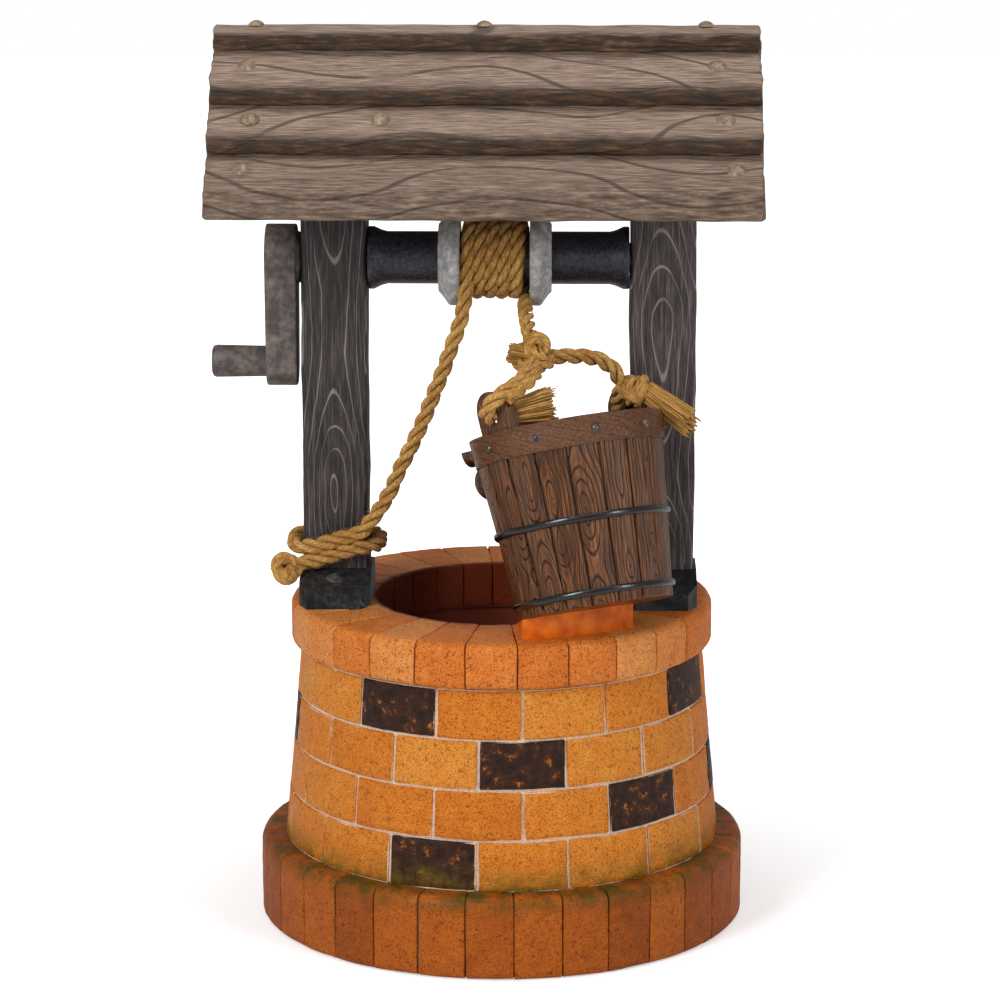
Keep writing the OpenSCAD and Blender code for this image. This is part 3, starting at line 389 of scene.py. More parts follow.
# %% The long rope and the bail
rope = piece("rope", lay_rope(rope_line, seed=7), jute, angle=80,
             replaces=("rope_hitch", "rope_to_post", "rope_winding", "rope_to_bucket"))
bail_rope = piece("bail", lay_rope(bail_line, start=5, seed=8), jute, angle=80, replaces=("bucket_bail",))

# %% [markdown]
# ## Knots and frayed ends
# A knot is rope that goes round itself, so each one is a short coil of the same rope, drawn tight. Past the
# knot the strands are let go and the end opens into a brush, made of clumps of fibres that spread a little
# and were cut to about one length.

# %% Knot and brush makers
def coil_line(middle, axis, radius, turns, climb, from_turn=0.0, squash=1.0):
    axis = axis.normalized()
    out = axis.orthogonal().normalized()
    over = axis.cross(out)
    count = max(8, int(turns * 14))
    points = []
    for k in range(count + 1):
        angle = math.tau * (turns * k / count) + from_turn
        lift = climb * (k / count - 0.5)
        points.append(middle + out * math.cos(angle) * radius + over * math.sin(angle) * radius * squash + axis * lift)
    return smooth_line(points)


def add_brush(bm, start, way, length, from_r, to_r, clumps, fibres, chance, droop=Vector((0, 0, 0))):
    straight, groove = bm.verts.layers.float_vector["lay"], bm.verts.layers.float["groove"]
    way = way.normalized()
    out = way.orthogonal().normalized()
    over = way.cross(out)
    tuft = bmesh.new()
    for c in range(clumps):
        turn, share = c * 2.4, math.sqrt((c + 0.5) / clumps)
        clump = out * math.cos(turn) * share + over * math.sin(turn) * share
        clump_length = length * chance.uniform(0.8, 1.0)
        for _ in range(fibres):
            a, r = chance.uniform(0, math.tau), math.sqrt(chance.random()) * 0.42
            spot = out * math.cos(a) * r + over * math.sin(a) * r
            a0 = start + (clump * 0.8 + spot) * from_r
            a1 = start + way * clump_length * chance.uniform(0.84, 1.03) + (clump * 0.78 + spot * 0.95) * to_r + droop
            line = a1 - a0
            matrix = Matrix.Translation((a0 + a1) / 2) @ line.to_track_quat("Z", "Y").to_matrix().to_4x4()
            bmesh.ops.create_cone(tuft, cap_ends=True, segments=4, radius1=0.5, radius2=0.34, depth=line.length, matrix=matrix)
    new = add_copy(bm, tuft)
    tuft.free()
    for v in new:
        rest = v.co - start
        v[straight] = Vector((rest.dot(out), rest.dot(over), rest.dot(way) * 0.6)) * 0.001
        # a random tone per fibre, which also paints shade into the depth of the brush
        v[groove] = 0.2 + 0.8 * chance.random()


def knot_of(coils, seed):
    bm = None
    for k, (line, radius) in enumerate(coils):
        bar = lay_rope(line, radius=radius, start=9 * k, hairs=3.5, seed=seed + k, sides=18)
        if bm is None:
            bm = bar
        else:
            add_copy(bm, bar)
            bar.free()
    return bm


# %% The knots
over_bucket = knot_of([
    (coil_line(KNOT + Vector((1.5, -1, 4)), Vector((0.35, -1, 0.25)), 4.3, 1.15, 5.5, 0.6), 4.4),
    (coil_line(KNOT + Vector((0, 0, -2.5)), Vector((0.15, -0.2, 1)), 7.4, 1.3, 8.0, 0.6), 3.9),
    (coil_line(KNOT + Vector((-1.5, -1.5, -5)), Vector((0.7, 0.5, -0.5)), 5.0, 0.95, 3.5, 1.0), 3.7),
    (smooth_line([KNOT + Vector((0, -2, -6)), mouth(-9.5, -28.5, 26.5), mouth(-16.5, -37.5, 20), mouth(-25, -45, 15)]), 3.5)], 21)
add_brush(over_bucket, KNOT + Vector((-3, -3, 0.5)), Vector((-1, -0.25, 0.25)), 11.5, 4.4, 5.2, 7, 18, random.Random(5))
bucket_knot = piece("knot_over_the_bucket", over_bucket, jute, angle=80, replaces=("bucket_knot",))

stopper_coils = knot_of([
    (coil_line(STOPPER + Vector((0.3, 0, -1)), Vector((0.2, -0.9, 0.35)), 5.1, 1.15, 3.6, 0.3), 4.0),
    (coil_line(STOPPER + Vector((0.3, 0, -1)), Vector((0.8, 0.3, 0.5)), 5.0, 0.8, 2.6, 2.0), 3.8)], 31)
stopper = piece("stopper_knot", stopper_coils, jute, angle=80, replaces=("hitch_stopper",))

left_middle = at_ear(226, -10.8)
left_way = (mouth(-2, -18, 10.0) - left_middle).normalized()
left_bm = knot_of([(coil_line(left_middle - left_way * 0.5, left_way, 4.4, 1.6, 6.4, 0.4), 3.6)], 41)
add_brush(left_bm, left_middle + Vector((0, -3.5, 0)), left_way, 24.5, 7.4, 12.2, 15, 28, random.Random(6))
left_knot = piece("left_bail_knot", left_bm, jute, angle=80, replaces=("bail_knot_left",))

right_middle = mouth(41, 9.8, 12.8)
right_way = (mouth(48.5, 8, 9.8) - mouth(35.5, 9, 16.8)).normalized()
right_end = mouth(66, 5.5, -12)
right_bm = knot_of([
    (coil_line(right_middle + Vector((-1, 0, 0)), right_way, 5.4, 1.7, 9.5, 1.4), 3.9),
    (coil_line(right_middle + Vector((-3, -1.0, 1.0)), Vector((0.3, -0.8, 0.9)), 5.8, 0.8, 2.8, 0.2), 3.7)], 51)
add_brush(right_bm, mouth(43, 9.5, 12.5), right_end - mouth(43, 9.5, 12.5), 33.5, 5.4, 7.6, 11, 26, random.Random(8))
right_knot = piece("right_bail_knot", right_bm, jute, angle=80, replaces=("bail_knot_right",))

# %% [markdown]
# ## Bricks that bend round the well
# A real brick of this casting is a small slab with rounded edges and a pitted face. One straight slab is
# cut into a grid and bevelled, then copied round the ring: each copy is bent to the circle, shaken a
# little so that no two are alike, and given its own tone. The CAD ring stays behind as the mortar.

# %% Brick maker
def slab(width, depth, height, edge, cuts, segments=2):
    """A straight slab in millimetres, cut across so that it can bend, with rounded edges."""
    bm = bmesh.new()
    bmesh.ops.create_cube(bm, size=1)
    size = Vector((width, depth, height))
    bmesh.ops.scale(bm, vec=size, verts=bm.verts)
    for axis, number in enumerate(cuts):
        for k in range(1, number):
            at, way = Vector(), Vector()
            at[axis], way[axis] = size[axis] * (k / number - 0.5), 1
            bmesh.ops.bisect_plane(bm, geom=bm.verts[:] + bm.edges[:] + bm.faces[:], plane_co=at, plane_no=way)
    sharp = [e for e in bm.edges if e.calc_face_angle(0) > 1]
    bmesh.ops.bevel(bm, geom=sharp, offset=edge, segments=segments, profile=0.5, affect="EDGES", material=-1)
    return bm


def shaken(co, seed, size, amount):
    return Vector((noise.noise(co / size + Vector((seed, 0, 0))), noise.noise(co / size + Vector((0, seed, 40))),
                   noise.noise(co / size + Vector((80, 0, seed))))) * amount


def add_brick(bm, template, from_turn, to_turn, inner, outer, low, high, gap, seed, tone, burnt, rough):
    """Bends one slab into the ring between two joints. Turns are in degrees from the front, to the right."""
    mark = bm.verts.layers.float_vector["brick"]
    new = add_copy(bm, template)
    spread = max(v.co.x for v in new)
    deep, tall = max(v.co.y for v in new), max(v.co.z for v in new)
    for v in new:
        up = low + (high - low) * (v.co.z / tall + 1) / 2
        r = inner + (outer(up) - inner) * (0.5 - v.co.y / deep / 2)
        half = math.radians(to_turn - from_turn) / 2 - gap / outer(up)
        angle = math.radians((from_turn + to_turn) / 2 - 90) + v.co.x / spread * half
        place = Vector((math.cos(angle) * r, math.sin(angle) * r, up))
        place += shaken(place, seed, 22, rough) + shaken(place, seed, 5, rough * 0.45)
        place.z = min(max(place.z, low - 0.1), high + 0.1)
        v.co = place
        v[mark] = (tone, burnt, seed)


def wall_r(z):
    return 116 - 9.3 * (z - 43.4) / 105.2


# %% Fired brick finish
def fired_brick(name, pale, mid, deep, burnt, moss, moss_from, moss_to, inner_dark=False, rough=0.5):
    """Fired clay under a thin satin lacquer: orange with pits, ash specks, pale patches and dirt in the low places."""
    material, tree, shader = new_finish(name, Roughness=rough, Coat_Weight=0.08, Coat_Roughness=0.3, Specular_IOR_Level=0.2)
    here = add(tree, "TexCoord").outputs["Object"]
    mark = add(tree, "SeparateXYZ", {0: add(tree, "Attribute", attribute_name="brick").outputs["Vector"]})
    # blotches 9 mm across, pits of 1.6 mm, grit of 0.7 mm
    blotch = add(tree, "TexNoise", {"Vector": here, "Scale": per_mm(9), "Detail": 4, "Roughness": 0.6}).outputs["Fac"]
    pits = add(tree, "TexNoise", {"Vector": here, "Scale": per_mm(2.4), "Detail": 5, "Roughness": 0.7}).outputs["Fac"]
    tone = add(tree, "Math", {0: blotch, 1: mark.outputs["X"]}, operation="ADD").outputs[0]
    clay = add(tree, "ValToRGB", {"Fac": add(tree, "Math", {0: tone, 1: 0.5}, operation="MULTIPLY").outputs[0]},
               stops=[(0.24, deep), (0.48, mid), (0.76, pale)]).outputs["Color"]
    specks = add(tree, "ValToRGB", {"Fac": pits}, stops=[(0.33, "#6E3A14"), (0.44, "#FFFFFF")]).outputs["Color"]
    clay = add(tree, "Mix", {0: 0.7, 6: clay, 7: specks}, data_type="RGBA", blend_type="MULTIPLY").outputs[2]
    grit = add(tree, "TexNoise", {"Vector": here, "Scale": per_mm(0.9), "Detail": 4, "Roughness": 0.6}).outputs["Fac"]
    sandy = add(tree, "ValToRGB", {"Fac": grit}, stops=[(0.34, "#8A5424"), (0.47, "#F4E0D0"), (0.62, "#FFFFFF")]).outputs["Color"]
    clay = add(tree, "Mix", {0: 0.75, 6: clay, 7: sandy}, data_type="RGBA", blend_type="MULTIPLY").outputs[2]
    ash = add(tree, "ValToRGB", {"Fac": add(tree, "TexNoise", {"Vector": here, "Scale": per_mm(6), "Detail": 6, "Roughness": 0.75}).outputs["Fac"]},
              stops=[(0.40, burnt), (0.58, "#4A2818"), (0.72, mid)]).outputs["Color"]
    clay = add(tree, "Mix", {0: mark.outputs["Y"], 6: clay, 7: ash}, data_type="RGBA").outputs[2]
    up = add(tree, "SeparateXYZ", {0: here}).outputs["Z"]
    low = add(tree, "MapRange", {"Value": up, "From Min": moss_from / 1000, "From Max": moss_to / 1000}).outputs[0]
    damp = add(tree, "TexNoise", {"Vector": here, "Scale": per_mm(12), "Detail": 5, "Roughness": 0.65}).outputs["Fac"]
    grown = add(tree, "Math", {0: low, 1: add(tree, "MapRange", {"Value": damp, "From Min": 0.35, "From Max": 0.62}).outputs[0]}, operation="MULTIPLY").outputs[0]
    clay = add(tree, "Mix", {0: grown, 6: clay, 7: paint(moss)}, data_type="RGBA").outputs[2]
    if inner_dark:
        out = add(tree, "VectorMath", {0: add(tree, "VectorMath", {0: here, 1: (1, 1, 0)}, operation="MULTIPLY").outputs[0]}, operation="LENGTH").outputs["Value"]
        inside = add(tree, "MapRange", {"Value": out, "From Min": 0.0712, "From Max": 0.0690}).outputs[0]
        clay = add(tree, "Mix", {0: inside, 6: clay, 7: paint("#86361A")}, data_type="RGBA").outputs[2]
    tree.links.new(clay, shader.inputs["Base Color"])
    first = add(tree, "Bump", {"Height": pits, "Strength": 0.8, "Distance": 0.0020})
    tree.links.new(add(tree, "Bump", {"Height": grit, "Normal": first.outputs["Normal"], "Strength": 0.7, "Distance": 0.0010}).outputs["Normal"], shader.inputs["Normal"])
    return material


wall_clay = fired_brick("satin_fired_wall_brick", "#F8AE48", "#EE922A", "#D87418", "#26140A", "#7A6010", 60, 42)
coping_clay = fired_brick("satin_fired_coping_brick", "#FEB468", "#F4923A", "#DE7020", "#26140A", "#7C6A30", 0.2, 0.1, inner_dark=True)
plinth_clay = fired_brick("mossy_fired_plinth_brick", "#D07416", "#B85E0E", "#8E4808", "#26140A", "#4E4608", 33, 44)
print("Finishes:", wall_clay.name, coping_clay.name, plinth_clay.name)

# %% The wall
def new_bricks():
    bm = bmesh.new()
    bm.verts.layers.float_vector.new("brick")
    return bm


chance = random.Random(11)
burnt_bricks = {(3, -2), (3, 2), (2, 0), (1, 1), (1, 3), (0, -1), (2, 8), (3, -6), (1, -5), (0, 6), (2, -4), (3, 7)}
wall = new_bricks()
template = slab(44, 2.4, 25, 0.8, (12, 1, 7))
for c in range(4):
    low, high = 43.4 + 26.3 * c, 43.4 + 26.3 * (c + 1)
    first = 6.7 if (4 - c) % 2 == 1 else -5.3
    for k in range(-7, 8):
        add_brick(wall, template, first + 24 * k, first + 24 * (k + 1), wall_r(low) - 3.2 if c == 3 else wall_r(high) - 2.2,
                  lambda z: wall_r(z) + 0.35, low + (0.6 if c else 0.2), high - 0.6, 0.65, 100 * c + k + 0.5,
                  chance.uniform(0.25, 0.75), 1.0 if (c, k) in burnt_bricks else 0.0, 0.35)
template.free()
piece("wall_bricks", wall, wall_clay, angle=60)

# %% The coping and the plinth
def rounded(r, low, high, below, above):
    """An outer radius that draws in over the last millimetres below the top and above the foot."""
    return lambda z: r - 3.6 * max(0, (z - high + above) / above) ** 2.5 - 3.2 * max(0, (low + below - z) / below) ** 2.5


coping = new_bricks()
template = slab(26, 43, 24, 0.7, (6, 9, 14), 2)
for k in range(26):
    turn = 5.2 + 360 / 26 * k
    add_brick(coping, template, turn, turn + 360 / 26, 67.8, rounded(112.3, 149.4, 173.6, 3.4, 4.6), 149.4, 173.6, 0.3, 500 + k, chance.uniform(0.2, 0.8), 0.0, 0.35)
template.free()
piece("coping_bricks", coping, coping_clay, angle=60)

plinth = new_bricks()
template = slab(25, 30, 43, 0.7, (6, 6, 20), 2)
for k in range(32):
    turn = 3.9 + 11.25 * k
    add_brick(plinth, template, turn, turn + 11.25, 99.5, rounded(129.5, 0, 43.75, 2.5, 4.8), 0.1, 43.75, 0.3, 700 + k, chance.uniform(0.2, 0.8), 0.0, 0.35)
template.free()
piece("plinth_bricks", plinth, plinth_clay, angle=60)

# %% Mortar on the CAD rings
def lime_mortar(name, colour, shade, inside):
    """Sandy lime mortar, rubbed flush and pale. Inside the shaft it turns dark red-brown."""
    material, tree, shader = new_finish(name, Roughness=0.85)
    here = add(tree, "TexCoord").outputs["Object"]
    sand = add(tree, "TexNoise", {"Vector": here, "Scale": per_mm(1.2), "Detail": 4}).outputs["Fac"]
    base = add(tree, "ValToRGB", {"Fac": sand}, stops=[(0.35, shade), (0.65, colour)]).outputs["Color"]
    out = add(tree, "VectorMath", {0: add(tree, "VectorMath", {0: here, 1: (1, 1, 0)}, operation="MULTIPLY").outputs[0]}, operation="LENGTH").outputs["Value"]
    deep = add(tree, "MapRange", {"Value": out, "From Min": 0.0990, "From Max": 0.0950}).outputs[0]
    tree.links.new(add(tree, "Mix", {0: deep, 6: base, 7: paint(inside)}, data_type="RGBA").outputs[2], shader.inputs["Base Color"])
    tree.links.new(add(tree, "Bump", {"Height": sand, "Strength": 0.4, "Distance": 0.0003}).outputs["Normal"], shader.inputs["Normal"])
    return material


def dress(names, material):
    for name in names:
        mesh = nodes[name].data
        mesh.materials.clear()
        mesh.materials.append(material)


dress(["brick_wall"], lime_mortar("rubbed_lime_mortar", "#F0D6BE", "#CDAE92", "#7A3016"))
dress(["coping_ring"], lime_mortar("dirty_coping_joint", "#70380F", "#4C2408", "#6A2A12"))
dress(["plinth_course"], lime_mortar("dirty_plinth_joint", "#4A2C0C", "#301C08", "#2A2220"))

# %% [markdown]
# ## Carved and painted wood
# The wood here is cast from carved masters: grain lines that close into nested arches and ovals, paint in
# the lines and a dry brush of paler paint on the ridges. Such arches are growth rings, cut by a sawn face
# that runs nearer to the pith and away again. A piece carries its own grain places in the attribute "lay",
# with X across from its middle and Z along it; a plain CAD node reads Object coordinates instead.

# %% Wood finish
def carved_wood(name, dark, mid, light, line, line_mm=3.2, drift_mm=34, oval_mm=60, line_part=0.12, line_amount=0.85,
                turn=None, rough=0.6, coat=0.0, fibre_mm=1.1, brush=0.4, depth_mm=0.5):
    """Growth rings seen on a sawn face: circles round a pith that drifts towards the face and away along the timber."""
    material, tree, shader = new_finish(name, Roughness=rough, Coat_Weight=coat, Coat_Roughness=0.2, Specular_IOR_Level=0.35)
    if coat:
        shader.inputs["Coat Tint"].default_value = paint("#F2C898")
    if turn is None:
        here = add(tree, "Attribute", attribute_name="lay").outputs["Vector"]
    else:
        here = add(tree, "Mapping", {"Vector": add(tree, "TexCoord").outputs["Object"], "Rotation": turn}, vector_type="TEXTURE").outputs["Vector"]
    parts = add(tree, "SeparateXYZ", {0: here})
    long = add(tree, "Mapping", {"Vector": here, "Scale": (0.25, 0.25, 1)}).outputs["Vector"]
    drift = add(tree, "TexNoise", {"Vector": long, "Scale": per_mm(oval_mm), "Detail": 0.6, "Roughness": 0.4}).outputs["Fac"]
    pith = add(tree, "Math", {0: add(tree, "Math", {0: drift, 1: 0.5}, operation="SUBTRACT").outputs[0], 1: drift_mm * 2}, operation="MULTIPLY").outputs[0]
    slow = add(tree, "Mapping", {"Vector": here, "Scale": (1, 1, 0.35)}).outputs["Vector"]
    bent = add(tree, "TexNoise", {"Vector": slow, "Scale": per_mm(14), "Detail": 2, "Roughness": 0.5}).outputs["Fac"]
    across = add(tree, "Math", {0: parts.outputs["X"], 1: 1000, 2: add(tree, "Math", {0: bent, 1: 5.0}, operation="MULTIPLY").outputs[0]}, operation="MULTIPLY_ADD").outputs[0]
    across = add(tree, "Math", {0: across, 1: 2.5}, operation="SUBTRACT").outputs[0]
    below = add(tree, "Math", {0: parts.outputs["Y"], 1: 1000, 2: pith}, operation="MULTIPLY_ADD").outputs[0]
    radius = add(tree, "VectorMath", {0: add(tree, "CombineXYZ", {0: across, 1: below}).outputs[0]}, operation="LENGTH").outputs["Value"]
    wave = add(tree, "Math", {0: add(tree, "Math", {0: radius, 1: line_mm}, operation="DIVIDE").outputs[0], 1: 0.5}, operation="PINGPONG").outputs[0]
    cut = add(tree, "MapRange", {"Value": wave, "From Min": 0.03, "From Max": line_part, "To Min": 1.0, "To Max": 0.0}).outputs[0]
    fibre = add(tree, "TexNoise", {"Vector": add(tree, "Mapping", {"Vector": here, "Scale": (1, 1, 0.05)}).outputs["Vector"],
                "Scale": per_mm(fibre_mm), "Detail": 5, "Roughness": 0.7}).outputs["Fac"]
    worn = add(tree, "TexNoise", {"Vector": add(tree, "Mapping", {"Vector": here, "Scale": (1, 1, 0.4)}).outputs["Vector"], "Scale": per_mm(12), "Detail": 4}).outputs["Fac"]
    body = add(tree, "ValToRGB", {"Fac": fibre}, stops=[(0.34, dark), (0.5, mid), (0.68, light)]).outputs["Color"]
    # the dry brush catches the ridge beside each line, in patches
    ridge = add(tree, "MapRange", {"Value": wave, "From Min": 0.42, "From Max": line_part}).outputs[0]
    brushed = add(tree, "Math", {0: ridge, 1: add(tree, "MapRange", {"Value": worn, "From Min": 0.42, "From Max": 0.66, "To Max": brush}).outputs[0]}, operation="MULTIPLY").outputs[0]
    body = add(tree, "Mix", {0: brushed, 6: body, 7: paint(light)}, data_type="RGBA").outputs[2]
    gone = add(tree, "MapRange", {"Value": worn, "From Min": 0.34, "From Max": 0.5, "To Min": 0.25, "To Max": line_amount}).outputs[0]
    body = add(tree, "Mix", {0: add(tree, "Math", {0: cut, 1: gone}, operation="MULTIPLY").outputs[0], 6: body, 7: paint(line)}, data_type="RGBA").outputs[2]
    # painted shade, with some old dark paint, under laps and in corners, where the piece says so
    lap_shade_and_paint = add(tree, "Attribute", attribute_name="shade").outputs["Fac"]
    darkened = add(tree, "Math", {0: lap_shade_and_paint, 1: add(tree, "MapRange", {"Value": fibre, "From Min": 0.25, "From Max": 0.7, "To Min": 1.0, "To Max": 0.72}).outputs[0]}, operation="MULTIPLY").outputs[0]
    shade_and_old_paint = add(tree, "ValToRGB", {"Fac": fibre}, stops=[(0.36, "#221A14"), (0.5, "#3A2817"), (0.68, "#5E4126")]).outputs["Color"]
    body = add(tree, "Mix", {0: darkened, 6: body, 7: shade_and_old_paint}, data_type="RGBA").outputs[2]
    tree.links.new(body, shader.inputs["Base Color"])
    first = add(tree, "Bump", {"Height": add(tree, "Math", {0: 1.0, 1: cut}, operation="SUBTRACT").outputs[0], "Strength": 0.8, "Distance": depth_mm / 1000})
    carved = add(tree, "Bump", {"Height": fibre, "Normal": first.outputs["Normal"], "Strength": 0.6, "Distance": 0.0008}).outputs["Normal"]
    tree.links.new(carved, shader.inputs["Normal"])
    tree.links.new(carved, shader.inputs["Coat Normal"])
    return material


charcoal = carved_wood("charcoal_dry_brushed_post", "#1E1919", "#342D2D", "#5C5352", "#9A918E", line_mm=3.0, line_part=0.07, line_amount=0.65, drift_mm=26, oval_mm=120, brush=0.25)
# the right post gets a paler copy of the same paint: painted light, for the light that falls on it
lit_post_charcoal = carved_wood("painted_light_charcoal_post", "#282222", "#443B3A", "#706664", "#A69C98", line_mm=3.0, line_part=0.07, line_amount=0.65, drift_mm=26, oval_mm=120, brush=0.25)
roof_wood = carved_wood("weathered_roof_board", "#584538", "#8A7464", "#B8A290", "#2E1E12", line_mm=4.2, line_part=0.06, drift_mm=16, oval_mm=170, fibre_mm=0.7, brush=0.3, line_amount=0.7)
stave_wood = carved_wood("lacquered_bucket_stave", "#2C1606", "#563212", "#98663A", "#0E0501", line_mm=2.2, line_part=0.16, drift_mm=19, oval_mm=58, rough=0.34, coat=0.55, brush=0.5, line_amount=1.0, depth_mm=1.1)
print("Finishes:", charcoal.name, roof_wood.name, stave_wood.name)

# %% [markdown]
# ## Posts
# Each post is a squared timber, a little uneven along its arrises. It starts as a slab cut into a grid, is
# bevelled, shaken, and its head is cut to the slopes of the roof with two planes.

# %% Post maker
def carry_lay(bm, seed, middle):
    """Stores grain places for a timber that stands along Z."""
    lay = bm.verts.layers.float_vector.get("lay") or bm.verts.layers.float_vector.new("lay")
    for v in bm.verts:
        v[lay] = Vector((v.co.x - middle, v.co.y, v.co.z + 190 * seed)) * 0.001


def post(name, x, node, seed, finish):
    foot, head = COPING_TOP - 0.2, 463
    bm = slab(34.6, 26, head - foot, 2.2, (8, 6, 56), 3)
    for v in bm.verts:
        v.co += Vector((x, 0, (foot + head) / 2))
    carry_lay(bm, seed, x)
    for v in bm.verts:
        v.co.xy += (shaken(v.co, seed, 34, 0.7) + shaken(v.co, seed, 7, 0.22)).xy
    for way in (-1, 1):
        plane = Vector((0, way * math.sin(math.radians(30)), math.cos(math.radians(30))))
        cut = bmesh.ops.bisect_plane(bm, geom=bm.verts[:] + bm.edges[:] + bm.faces[:], plane_co=(0, 0, 471.7 - 8.6), plane_no=plane, clear_outer=True)
        bmesh.ops.holes_fill(bm, edges=[e for e in cut["geom_cut"] if isinstance(e, bmesh.types.BMEdge)])
    return piece(name, bm, finish, replaces=(node,), angle=50)


post("left_post_timber", FRAME_X - 86.3, "post_left", 1, charcoal)
post("right_post_timber", FRAME_X + 86.3, "post_right", 2, lit_post_charcoal)

# %% [markdown]
# ## Roof
# Six thick boards lap over one another, with a cap along the ridge. A board is its end profile pulled out
# along the roof, cut across every few millimetres, rounded on its long edges, and shaken so that the
# edges run unevenly and the ends are ragged, as the photograph shows.

# %% Board maker
APEX, TILT, ROOF_MID, ROOF_L = 471.7, math.radians(30), -7.7, 283.5
RISE = 7.9 / math.cos(TILT)


def board_profile(number):
    out = 40 + (number - 1) * 23
    top = APEX - 40 * math.tan(TILT) - (number - 1) * (RISE + 23 * math.tan(TILT))
    back = 0 if number == 1 else out - 35
    slope = (out - back) * math.tan(TILT)
    deep, nose = (16.2, 12) if number == 3 else (RISE, 0)
    corners = [(back, top + slope), (out, top), (out, top - deep)]
    if nose:
        corners += [(out - nose, top - deep), (out - nose, top + nose * math.tan(TILT) - RISE)]
    return corners + [(back, top + slope - RISE)]


def pulled_board(name, corners, mirror, finish, edge, seed, replaces, shade_and_paint_bands=(), ends=(0, 0)):
    bm = bmesh.new()
    face = bm.faces.new([bm.verts.new((0, y, z)) for y, z in corners])
    pulled = bmesh.ops.extrude_face_region(bm, geom=[face])
    bmesh.ops.translate(bm, vec=(ROOF_L, 0, 0), verts=[v for v in pulled["geom"] if isinstance(v, bmesh.types.BMVert)])
    bmesh.ops.recalc_face_normals(bm, faces=bm.faces)
    long = [e for e in bm.edges if abs(e.verts[0].co.x - e.verts[1].co.x) > 1 and e.calc_face_angle(0) > 0.5]
    bmesh.ops.bevel(bm, geom=long, offset=edge, segments=3, profile=0.5, affect="EDGES", material=-1)
    ys, zs = [y for y, _ in corners], [z for _, z in corners]
    for k in range(1, 71):
        bmesh.ops.bisect_plane(bm, geom=bm.verts[:] + bm.edges[:] + bm.faces[:], plane_co=(ROOF_L * k / 71, 0, 0), plane_no=(1, 0, 0))
    count = max(2, round((max(ys) - min(ys)) / 3.2))
    for k in range(1, count):
        bmesh.ops.bisect_plane(bm, geom=bm.verts[:] + bm.edges[:] + bm.faces[:], plane_co=(0, min(ys) + (max(ys) - min(ys)) * k / count, 0), plane_no=(0, 1, 0))
    rim = [e for e in bm.edges if e.calc_face_angle(0) > 1 and min(abs(e.verts[0].co.x - e.verts[1].co.x), 1) < 0.01]
    bmesh.ops.bevel(bm, geom=rim, offset=1.4, segments=3, profile=0.5, affect="EDGES", material=-1)
    lay, shade = bm.verts.layers.float_vector.new("lay"), bm.verts.layers.float.new("shade")
    middle = (corners[1][0] - 9) * 1.15 + 3 * math.sin(seed * 2)
    for v in bm.verts:
        v[lay] = Vector((v.co.y * 1.15 - middle, v.co.z * 0.3, v.co.x + 307 * seed)) * 0.001
        # the shade attribute paints shade, with some dark paint, on each butt and under the lap above it
        v[shade] = max([amount * max(0, 1 - abs(v.co.y - y) / reach) for y, reach, amount in shade_and_paint_bands] + [0])
        grain = noise.noise(Vector((v.co.x / 60, v.co.y / 5.5, v.co.z / 9 + seed)))
        end = (v.co.x / ROOF_L * 2 - 1) ** 9
        v.co += Vector((end * 1.6 * noise.noise(Vector((seed, v.co.y / 6, v.co.z / 6))) + ends[0] * (1 - v.co.x / ROOF_L) + ends[1] * v.co.x / ROOF_L,
                        0.9 * noise.noise(Vector((v.co.x / 19, seed, 3))) + 0.25 * grain, 0.7 * noise.noise(Vector((v.co.x / 23, v.co.y / 14, seed))) + 0.35 * grain))
        v.co.x += ROOF_MID - ROOF_L / 2
        v.co.y *= -1 if mirror else 1
    return piece(name, bm, finish, replaces=replaces, angle=40)


# each board's bands paint shade, with some dark paint, on its butt and under the board above it, under the ridge cap
# for the first board; on the eave board also over its lower face
for number in (1, 2, 3):
    for side_name, mirror in (("front", True), ("back", False)):
        out = 40 + (number - 1) * 23
        pulled_board(f"{side_name}_roof_board_{number}", board_profile(number), mirror, roof_wood, 2.4, number + (0 if mirror else 5), (f"roof_board_{side_name}_{number}",),
                     shade_and_paint_bands=((out, 4.5, 0.6 if number == 3 else 1.25), (out - 23 if number > 1 else 12.5, 5.5, 1.0), (out - 6, 30, 0.4 if number == 3 else 0.0)))
edge = APEX - 12.5 * math.tan(TILT)
cap_corners = [(0, APEX), (12.5, edge), (12.5, edge + 9.4), (0, APEX + 5.9), (-12.5, edge + 9.4), (-12.5, edge)]
# painted shade, with some dark paint, along both lower edges of the ridge cap
pulled_board("ridge_cap_board", cap_corners, False, roof_wood, 1.6, 12, ("ridge_cap",), shade_and_paint_bands=((12.5, 2.6, 1.2), (-12.5, 2.6, 1.2)))

# %% [markdown]
# ## Bucket
# A coopered bucket: eighteen staves that taper towards the foot, held by hoops. Each stave is a slab bent
# to the cone with its own run of grain; a thin lining behind them closes the joints. Two staves are
# notched for the spout. It is drawn upright at the origin, and one matrix leans it on its wedge.

# %% Bucket frame and staves
LEAN = Matrix.Identity(4)
LEAN.col[0] = (*BUCKET_U, 0)
LEAN.col[1] = (*BUCKET_V, 0)
LEAN.col[2] = (*BUCKET_A, 0)
LEAN.col[3] = (*BUCKET_AT, 1)
SPOUT_TURN = math.radians(150)


def spun(profile, steps=96):
    """A closed profile of (radius, height) turned once round Z."""
    bm = bmesh.new()
    face = bm.faces.new([bm.verts.new((r, 0, z)) for r, z in profile])
    edges = face.edges[:]
    bmesh.ops.delete(bm, geom=[face], context="FACES_ONLY")
    bmesh.ops.spin(bm, geom=edges + bm.verts[:], cent=(0, 0, 0), axis=(0, 0, 1), angle=math.tau, steps=steps, use_merge=True, use_duplicate=False)
    bmesh.ops.remove_doubles(bm, verts=bm.verts, dist=0.001)
    return bm


